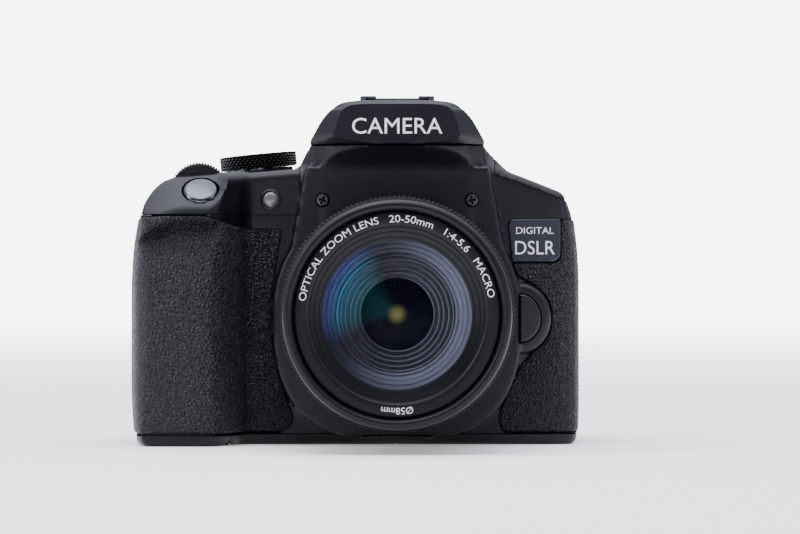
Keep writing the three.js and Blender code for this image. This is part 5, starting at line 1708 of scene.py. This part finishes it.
def make_battery_door():
    """The door in the base with its hinge line, and the grooved latch."""
    latch_low, latch_high = span("battery_latch")

    def door(at):
        made = brick(at, *zip(DOOR_LOW, DOOR_HIGH), r=0.35)
        slot = brick(at, (latch_low[0] - GAP, latch_high[0] + GAP), (latch_low[1] - 2.3, latch_high[1] + GAP),
                     (-2, 4))
        line = brick(at, (DOOR_LOW[0] + 2, DOOR_HIGH[0] - 2), (DOOR_LOW[1] + 8, DOOR_LOW[1] + 8.5),
                     (-2, DOOR_LOW[2] + 0.4))
        return without(made, slot, line)

    carve("battery_flap", door, DOOR_LOW, DOOR_HIGH, 0.45, "body", ["battery_door"], body="battery_door")

    def latch(at):
        made = brick(at, *zip(latch_low, latch_high), r=0.3)
        grooves = [brick(at, (latch_low[0] + 0.8, latch_high[0] - 0.8), (y - 0.25, y + 0.25),
                         (-2, latch_low[2] + 0.4))
                   for y in np.linspace(latch_low[1] + 1, latch_high[1] - 1, 4)]
        return without(made, *grooves)

    carve("battery_catch", latch, latch_low, latch_high, 0.25, "control", ["battery_latch"],
          body="battery_latch")


def make_doors():
    """Doors, their latch and what is behind them."""
    make_side_doors()
    make_panels()
    make_battery_door()


# ---------------------------------------------------------------- lens

# Radii of the zoom ring's ribs and of its plain band, of the front tube's head, of the filter thread's bore
# and of the sleeve behind the head. How far one turn of each thread climbs.
ZOOM_R, BAND_R, HEAD_R = 33.25, 32.3, 31.75
THREAD_R, TUBE_R = 29.0, 27.2
FILTER_PITCH, TRIPOD_PITCH = 0.75, 1.27
ZOOM_REAR = ZOOM_HIGH[1]
HEAD_REAR = ZOOM_LOW[1] - 0.6
FOCUS_LOW, FOCUS_HIGH = span("focus_ring")
SHELF = LENS_FRONT + 7.8


def make_barrel():
    def barrel(at):
        """The outside, the sleeve that guides the front group, and the tail that goes into the mount."""
        outside = drum(at, 32.65, (-FLANGE + 0.3, -ZOOM_REAR - 0.3), 0.6)
        guide = drum(at, 29.6, (-FLANGE + 2, -HEAD_REAR - 0.9), 0.2)
        tail = drum(at, 26.6, (-FLANGE - 4.8, -FLANGE + 2), 0.2)
        groove = without(drum(at, 34, (-FLANGE + 2.6, -FLANGE + 3.1)),
                         drum(at, 32.1))
        made = either(either(outside, guide), tail)
        throat = drum(at, 22, (-FLANGE - 9, -FLANGE + 9))
        bore = drum(at, THROAT_R, (-FLANGE + 8, 99))
        made = without(made, throat, bore, groove)
        for node in ("focus_mode_switch", "stabilizer_switch"):
            low, high = span(node)
            made = without(made, brick(at, (31.25, 40), (low[1] - 0.3, high[1] + 0.3),
                                       (low[2] - 0.3, high[2] + 2.3)))
        return made

    low, high = span("lens_barrel")
    carve("fixed_barrel", barrel, low, high, 0.7, "lens", ["lens_barrel"], sharp=32)
    for node, name in (("focus_mode_switch", "focus_switch"), ("stabilizer_switch", "steady_switch")):
        low, high = span(node)

        def slider(at, low=low, high=high):
            made = brick(at, *zip(low, high), r=0.35)
            cuts = [brick(at, (high[0] - 0.3, 60), (low[1] + 0.5, high[1] - 0.5), (z - 0.15, z + 0.15))
                    for z in np.linspace(low[2] + 0.6, high[2] - 0.6, 3)]
            return without(made, *cuts)

        carve(name, slider, low, high, 0.16, "control", [node], body=node)

    teeth = bpy.context.scene.camera_sizes.zoom_teeth
    profile = [[30.0, ZOOM_REAR], [BAND_R, ZOOM_REAR, 0.4], [BAND_R, ZOOM_REAR - 5.6, 0.2],
               [ZOOM_R, ZOOM_REAR - 6.4, 0.5], [ZOOM_R, HEAD_REAR + 1.4, 0.5], [32.2, HEAD_REAR + 0.6, 0.4],
               [30.0, HEAD_REAR + 0.6]]
    lathe("zoom_grip", spun(profile, teeth * 8, ribs(teeth, 0.45, 32.5, 0.35)), "lens_rubber", ["zoom_ring"],
          body="zoom_ring", sharp=40)

    def around(turn, r, y):
        def place(u, v, w):
            a = np.radians(turn) - u / r
            return (r + w) * np.cos(a), y + v, AXIS_Z + (r + w) * np.sin(a)

        return place

    for word, turn in (("20", 122), ("24", 108), ("35", 90), ("50", 70)):
        lettering(f"zoom_mark_{word}", word, 1.9, None, around(turn, BAND_R, ZOOM_REAR - 4.6),
                  "zoom_ring")
    lettering("zoom_index", "I", 2.0, 0.4, around(90, 32.65, ZOOM_REAR + 0.8), "camera_body")


def lens_thread(a, r, h):
    """Filter thread: a triangle wave that climbs one pitch a turn, cut into the bore between its two ends."""
    wave = np.abs((h / FILTER_PITCH - a / (2 * np.pi)) % 1 - 0.5) * 2
    bore = (np.abs(r - THREAD_R) < 0.05) & (h > -SHELF + 0.4) & (h < -LENS_FRONT - 1.0)
    return np.where(bore, -0.28 * wave, 0)


def make_front_tube():
    """The tube that slides with the zoom: its head, a groove for the focus ring, and the filter thread."""
    rows = [[THREAD_R, y] for y in np.linspace(LENS_FRONT + 0.9, SHELF + 0.0, 60)]
    head = [[25.4, HEAD_HIGH[1]], [TUBE_R, HEAD_HIGH[1], 0.2], [TUBE_R, HEAD_REAR], [HEAD_R, HEAD_REAR, 0.5],
            [HEAD_R, HEAD_REAR - 1.5, 0.2], [30.25, HEAD_REAR - 1.5], [30.25, FOCUS_LOW[1] - 0.3],
            [HEAD_R, FOCUS_LOW[1] - 0.3, 0.3], [HEAD_R, LENS_FRONT + 5.0, 0.2],
            [31.35, LENS_FRONT + 4.6, 0.2], [31.35, LENS_FRONT + 3.9, 0.2], [HEAD_R, LENS_FRONT + 3.5, 0.2],
            [HEAD_R, LENS_FRONT + 1.1, 0.5], [30.9, LENS_FRONT, 0.6], [29.5, LENS_FRONT, 0.5]]
    lathe("front_tube", spun(head + rows + [[25.4, SHELF]], 256, lens_thread, 3), "lens", ["front_barrel"],
          body="lens_front", sharp=34)


def make_focus_ring():
    """A ribbed ring in the head's groove."""
    teeth = bpy.context.scene.camera_sizes.focus_teeth
    grip = [[30.55, FOCUS_HIGH[1]], [32.35, FOCUS_HIGH[1], 0.5], [32.35, FOCUS_LOW[1], 0.5],
            [30.55, FOCUS_LOW[1]]]
    lathe("focus_grip", spun(grip, teeth * 6, ribs(teeth, 0.35, 31.9, 0.4), 6), "lens_rubber", ["focus_ring"],
          body="focus_ring", sharp=40)


def make_name_ring():
    """The stepped ring round the front glass, with words bowed along it."""
    face = SHELF - 3.2
    name = [[28.7, SHELF - 0.3], [28.7, face + 0.3, 0.2], [28.3, face, 0.2], [25.3, face, 0.3],
            [24.4, face + 0.5, 0.1], [24.2, face + 1.0, 0.1], [23.1, face + 1.15, 0.1],
            [22.9, face + 1.6, 0.1], [21.6, face + 1.75, 0.1], [21.4, face + 2.2, 0.1],
            [20.9, face + 2.3, 0.1], [20.7, face + 2.45, 0.1], [20.7, face + 2.6], [23.4, face + 2.75],
            [25.4, SHELF - 0.3]]
    lathe("name_plate_ring", spun(name, 192, None, 3), "lens", ["name_ring"], body="lens_front", sharp=24)

    def bow(r, turn):
        def place(u, v, w):
            a, reach = np.radians(turn) - u / r, r + v
            return reach * np.cos(a), face - w, AXIS_Z + reach * np.sin(a)

        return place

    top = "OPTICAL ZOOM LENS   20-50mm   1:4-5.6   MACRO"
    lettering("name_words", top, 2.0, 72.0, bow(25.6, 91), "lens_front")
    lettering("thread_words", "Ø58mm", 1.9, 8.6, bow(25.7, 270), "lens_front")


def make_lens_cell():
    """The front glass, both faces bulging by a square law, and the cell behind it, with painted light and
    painted
    reflections: a stack of stepped rings, thin lips painted bright on one side, the seat round the second
    glass painted pale on one side, and the inner glass."""
    r = np.linspace(0, 24.6, 28)
    apex = LENS_FRONT + 5.6
    dome = [[q, apex + q * q / 230] for q in r] + [[q, apex + 3.4 + q * q / 420] for q in r[::-1]]
    lathe("front_lens", spun(dome, 128, None, 2), "front_glass", ["front_element"], body="lens_front",
          sharp=60)

    # The cell behind the front glass: a step and a lip for each glass, down to the hole before the iris.
    stack = [[25.2, -94.6], [22.8, -94.6, 0.2], [22.5, -93.6, 0.2], [21.4, -93.2, 0.2], [21.2, -91.4],
             [15.8, -89.2], [15.6, -88.6, 0.1], [14.7, -88.5], [14.6, -87.2, 0.1], [13.5, -87.1],
             [13.4, -86.0, 0.1], [12.2, -85.9], [12.1, -84.6, 0.1], [10.6, -84.4], [10.3, -83.8, 0.2],
             [10.3, -81.0], [25.2, -81.0]]
    lathe("lens_cell", spun(stack, 160, None, 3), "cell", body="lens_front", sharp=24)
    steps = ((21.2, -93.0), (16.6, -91.0), (16.3, -90.9), (15.6, -89.6), (14.3, -88.4), (12.9, -87.0),
             (11.6, -85.4), (10.2, -84.3))
    lips = [[[r0 + 0.35, y], [r0 + 0.35, y - 0.35, 0.15], [r0, y - 0.35, 0.15], [r0, y]] for r0, y in steps]
    lathe("retaining_rings", together(*[spun(p, 160) for p in lips]), "lip", body="lens_front")
    seat = [[20.9, -92.7], [20.3, -92.45], [20.2, -92.0, 0.1], [19.7, -91.8], [19.6, -92.05], [18.9, -91.75],
            [18.8, -91.4], [18.4, -91.2], [18.3, -91.4], [17.0, -90.75], [16.8, -90.3], [16.4, -90.0],
            [16.4, -89.6], [20.9, -91.5]]
    lathe("lens_seat", spun(seat, 160), "seat", body="lens_front")
    q = np.linspace(0, 10.2, 16)
    inner = [[s, -83.6 + s * s / 60] for s in q] + [[10.2, -80.9], [0, -80.9]]
    lathe("inner_lens", spun(inner, 96, None, 2), "inner_glass", body="lens_front", sharp=60)


def make_iris():
    """Seven leaves round a seven-sided hole, each overlapping the next by a small rise along the turn."""
    blades = 7
    a, s = np.meshgrid(np.linspace(0, 2 * np.pi, blades * 24, endpoint=False), np.linspace(0, 1, 9),
                       indexing="ij")
    step = 2 * np.pi / blades
    hole = 6.0 / np.cos(a % step - step / 2)
    radius = hole + (25.0 - hole) * s
    lift = 0.35 * ((a / step + 0.9 * s) % 1)
    front = np.stack([radius * np.cos(a), -79.5 + lift * 0.8, AXIS_Z + radius * np.sin(a)], -1)
    back = front[:, ::-1].copy()
    back[..., 1] = -77.1
    lathe("iris_leaves", wrapped(np.concatenate([front, back], 1), True, True), "black_metal", ["iris_unit"],
          body="lens_front")


def make_front_group():
    """Everything that slides with the front of the lens."""
    make_front_tube()
    make_focus_ring()
    make_name_ring()
    make_lens_cell()
    make_iris()


def dress_inside():
    """The pieces inside the body keep their CAD shape and get their finish."""
    looks = {
        "mirror_box": ("void", "body_plastic"), "shutter_unit": ("black_metal", "black_metal"),
        "image_sensor": ("sensor", "sensor_cover"), "pentamirror": ("mirror", "mirror_coat"),
        "battery_pack": ("control", "body_plastic"), "reflex_mirror": ("mirror", "mirror_coat"),
    }
    for node, (look, slot) in looks.items():
        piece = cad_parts[node]
        piece.data.materials.clear()
        piece.data.materials.append(LOOKS[look])


# ---------------------------------------------------------------- stage


def make_stage():
    """A wide pale floor lit from below more and more towards its far end, a white backdrop, soft lamps, and
    the camera level with the body's middle."""
    sizes = bpy.context.scene.camera_sizes
    u = np.linspace(-FLOOR_HALF, FLOOR_HALF, 9)
    x, y = np.meshgrid(u, u, indexing="ij")
    points, quads = wrapped(np.stack([x, y, 0 * x - 0.02], -1))
    mesh = bpy.data.meshes.new("floor")
    mesh.from_pydata((points * MM).tolist(), [], quads.tolist())
    made, tree, where = start("pale_paper")
    colour = bpy.context.scene.camera_finishes.floor
    along_y = add(tree, "ShaderNodeSeparateXYZ", {"Vector": where}).outputs["Y"]
    close(tree, {
        "Base Color": blend(tree, noise(tree, where, 0.004, 2.0), rgba(colour, 0.99), rgba(colour, 1.01)),
        "Roughness": 0.8, "Specular IOR Level": 0.1, "Emission Color": (1.0, 1.0, 1.0, 1),
        "Emission Strength": remap(tree, along_y, (0.15, 3.0), (0.3, BACKDROP - 2.0), "SMOOTHSTEP"),
    })
    mesh.materials.append(made)
    floor = bpy.data.objects.new("floor", mesh)
    bpy.context.scene.collection.objects.link(floor)

    world = bpy.data.worlds.new("studio")
    bpy.context.scene.world = world
    world.use_nodes = True
    tree = world.node_tree
    tree.nodes.clear()
    where = add(tree, "ShaderNodeTexCoord").outputs["Generated"]
    parts = add(tree, "ShaderNodeSeparateXYZ", {"Vector": where})
    back = remap(tree, parts.outputs["Y"], (-0.1, 0.45), curve="SMOOTHSTEP")
    above = remap(tree, parts.outputs["Z"], (0.45, 0.95), curve="SMOOTHSTEP")
    front, behind = [blend(tree, above, (*low, 1), (*SKY_ABOVE, 1)) for low in (SKY_FRONT, SKY_BEHIND)]
    light = add(tree, "ShaderNodeBackground", {"Color": blend(tree, back, front, behind), "Strength": SKY})
    white = add(tree, "ShaderNodeBackground", {"Color": (1.0, 1.0, 1.0, 1), "Strength": BACKDROP})
    seen = add(tree, "ShaderNodeLightPath").outputs["Is Camera Ray"]
    both_skies = add(tree, "ShaderNodeMixShader", {0: seen, 1: light.outputs["Background"],
                                                   2: white.outputs["Background"]})
    add(tree, "ShaderNodeOutputWorld", {"Surface": both_skies.outputs["Shader"]})

    for name, place, power, shape in LAMPS:
        data = bpy.data.lights.new(name, "AREA")
        data.shape, data.size, data.size_y, data.energy = "RECTANGLE", shape[0], shape[1], power
        data.color = LAMP_TINT
        lamp = bpy.data.objects.new(name, data)
        lamp.location = place
        aim = np.array(LAMP_AIM) - np.array(place)
        lamp.rotation_euler = Vector(aim).to_track_quat("-Z", "Y").to_euler()
        bpy.context.scene.collection.objects.link(lamp)

    rise = sizes.camera_rise
    reach = sizes.camera_distance
    aim = Vector(VIEW_AIM)
    data = bpy.data.cameras.new("view")
    data.sensor_width = 36
    data.lens = data.sensor_width * reach / VIEW_WIDTH
    data.clip_start, data.clip_end = 0.01, 50
    camera = bpy.data.objects.new("view", data)
    camera.location = aim + Vector((0, -reach * np.cos(rise), reach * np.sin(rise)))
    camera.rotation_euler = (aim - camera.location).to_track_quat("-Z", "Y").to_euler()
    bpy.context.scene.collection.objects.link(camera)
    bpy.context.scene.camera = camera


# Half the floor's width, in millimetres. What the view shows across at the body, and where it and the lamps
# aim, in metres. The strength of the backdrop and of the sky, and the sky's colours in front, behind and
# above.
FLOOR_HALF = 6000.0
VIEW_WIDTH = 0.2372
VIEW_AIM = (0.0008, -0.012, 0.0519)
LAMP_AIM = (0.0, -0.03, 0.05)
LAMP_TINT = (0.92, 0.95, 1.0)
BACKDROP = 7.0
SKY = 1.6
SKY_FRONT = (0.085, 0.09, 0.12)
SKY_BEHIND = (0.5, 0.52, 0.58)
SKY_ABOVE = (2.0, 2.05, 2.3)
# Soft boxes: name, place in metres, power in watts, width and height in metres.
LAMPS = [
    ("top_softbox", (-0.2, -0.3, 1.3), 11.0, (1.0, 0.8)),
    ("left_softbox", (-1.25, -0.6, 0.75), 13.0, (0.35, 0.9)),
    ("right_softbox", (1.2, -0.6, 0.5), 4.0, (0.3, 1.0)),
]


# ---------------------------------------------------------------- add-on


class CameraOperator:
    bl_options = {"REGISTER", "UNDO"}

    def execute(self, context):
        if not LOOKS:
            mix_finishes()
        self.make()
        return {"FINISHED"}


class OBJECT_OT_camera_covers(CameraOperator, bpy.types.Operator):
    """Moulded front, top, rear and base covers"""

    bl_idname = "object.camera_covers"
    bl_label = "Covers"
    make = staticmethod(make_covers)


class OBJECT_OT_camera_skins(CameraOperator, bpy.types.Operator):
    """Leather-grained coverings of the grip, the front and the thumb rest"""

    bl_idname = "object.camera_skins"
    bl_label = "Rubber coverings"
    make = staticmethod(make_skins)


class OBJECT_OT_camera_trim(CameraOperator, bpy.types.Operator):
    """Badge, lamp, screws, lugs, shoe, tripod bush, mount flange, eyecup and eyepiece"""

    bl_idname = "object.camera_trim"
    bl_label = "Trim"
    make = staticmethod(make_trim)


class OBJECT_OT_camera_controls(CameraOperator, bpy.types.Operator):
    """Buttons, dials, levers and their markings"""

    bl_idname = "object.camera_controls"
    bl_label = "Controls"
    make = staticmethod(make_controls)


class OBJECT_OT_camera_flash(CameraOperator, bpy.types.Operator):
    """Flash head, its window and its lettering"""

    bl_idname = "object.camera_flash"
    bl_label = "Flash"
    make = staticmethod(make_flash)


class OBJECT_OT_camera_screen(CameraOperator, bpy.types.Operator):
    """Hinged screen with its frame, pane and pivot"""

    bl_idname = "object.camera_screen"
    bl_label = "Screen"
    make = staticmethod(make_screen)


class OBJECT_OT_camera_doors(CameraOperator, bpy.types.Operator):
    """Terminal flap, card door, battery door and its catch"""

    bl_idname = "object.camera_doors"
    bl_label = "Doors"
    make = staticmethod(make_doors)


class OBJECT_OT_camera_barrel(CameraOperator, bpy.types.Operator):
    """Fixed lens barrel, zoom ring and switches"""

    bl_idname = "object.camera_barrel"
    bl_label = "Lens barrel"
    make = staticmethod(make_barrel)


class OBJECT_OT_camera_front_group(CameraOperator, bpy.types.Operator):
    """Front tube, focus ring, name ring, glass, lens cell and iris"""

    bl_idname = "object.camera_front_group"
    bl_label = "Lens front group"
    make = staticmethod(make_front_group)


class OBJECT_OT_camera_inside(CameraOperator, bpy.types.Operator):
    """Finishes of the pieces inside the body"""

    bl_idname = "object.camera_inside"
    bl_label = "Inside"
    make = staticmethod(dress_inside)


class OBJECT_OT_camera_stage(CameraOperator, bpy.types.Operator):
    """Floor, sky, soft lamps and the view"""

    bl_idname = "object.camera_stage"
    bl_label = "Stage"
    make = staticmethod(make_stage)


OPERATORS = (
    OBJECT_OT_camera_covers, OBJECT_OT_camera_skins, OBJECT_OT_camera_trim, OBJECT_OT_camera_controls,
    OBJECT_OT_camera_flash, OBJECT_OT_camera_screen, OBJECT_OT_camera_doors, OBJECT_OT_camera_barrel,
    OBJECT_OT_camera_front_group, OBJECT_OT_camera_inside, OBJECT_OT_camera_stage,
)


class VIEW3D_PT_camera(bpy.types.Panel):
    """Lists the makers, the sizes and the finishes"""

    bl_label = "Reflex camera"
    bl_space_type = "VIEW_3D"
    bl_region_type = "UI"
    bl_category = "Camera"

    def draw(self, context):
        for operator in OPERATORS:
            self.layout.operator(operator.bl_idname)
        for group in (context.scene.camera_sizes, context.scene.camera_finishes):
            for name in group.__annotations__:
                self.layout.prop(group, name)


CLASSES = (CameraFinishes, CameraSizes, *OPERATORS, VIEW3D_PT_camera)


def register():
    for one in CLASSES:
        bpy.utils.register_class(one)
    bpy.types.Scene.camera_finishes = PointerProperty(type=CameraFinishes)
    bpy.types.Scene.camera_sizes = PointerProperty(type=CameraSizes)


def unregister():
    del bpy.types.Scene.camera_finishes
    del bpy.types.Scene.camera_sizes
    for one in reversed(CLASSES):
        bpy.utils.unregister_class(one)


def main():
    """Makes every piece and the stage."""
    register()
    for operator in OPERATORS:
        category, name = operator.bl_idname.split(".")
        getattr(getattr(bpy.ops, category), name)()


if __name__ == "__main__":
    main()
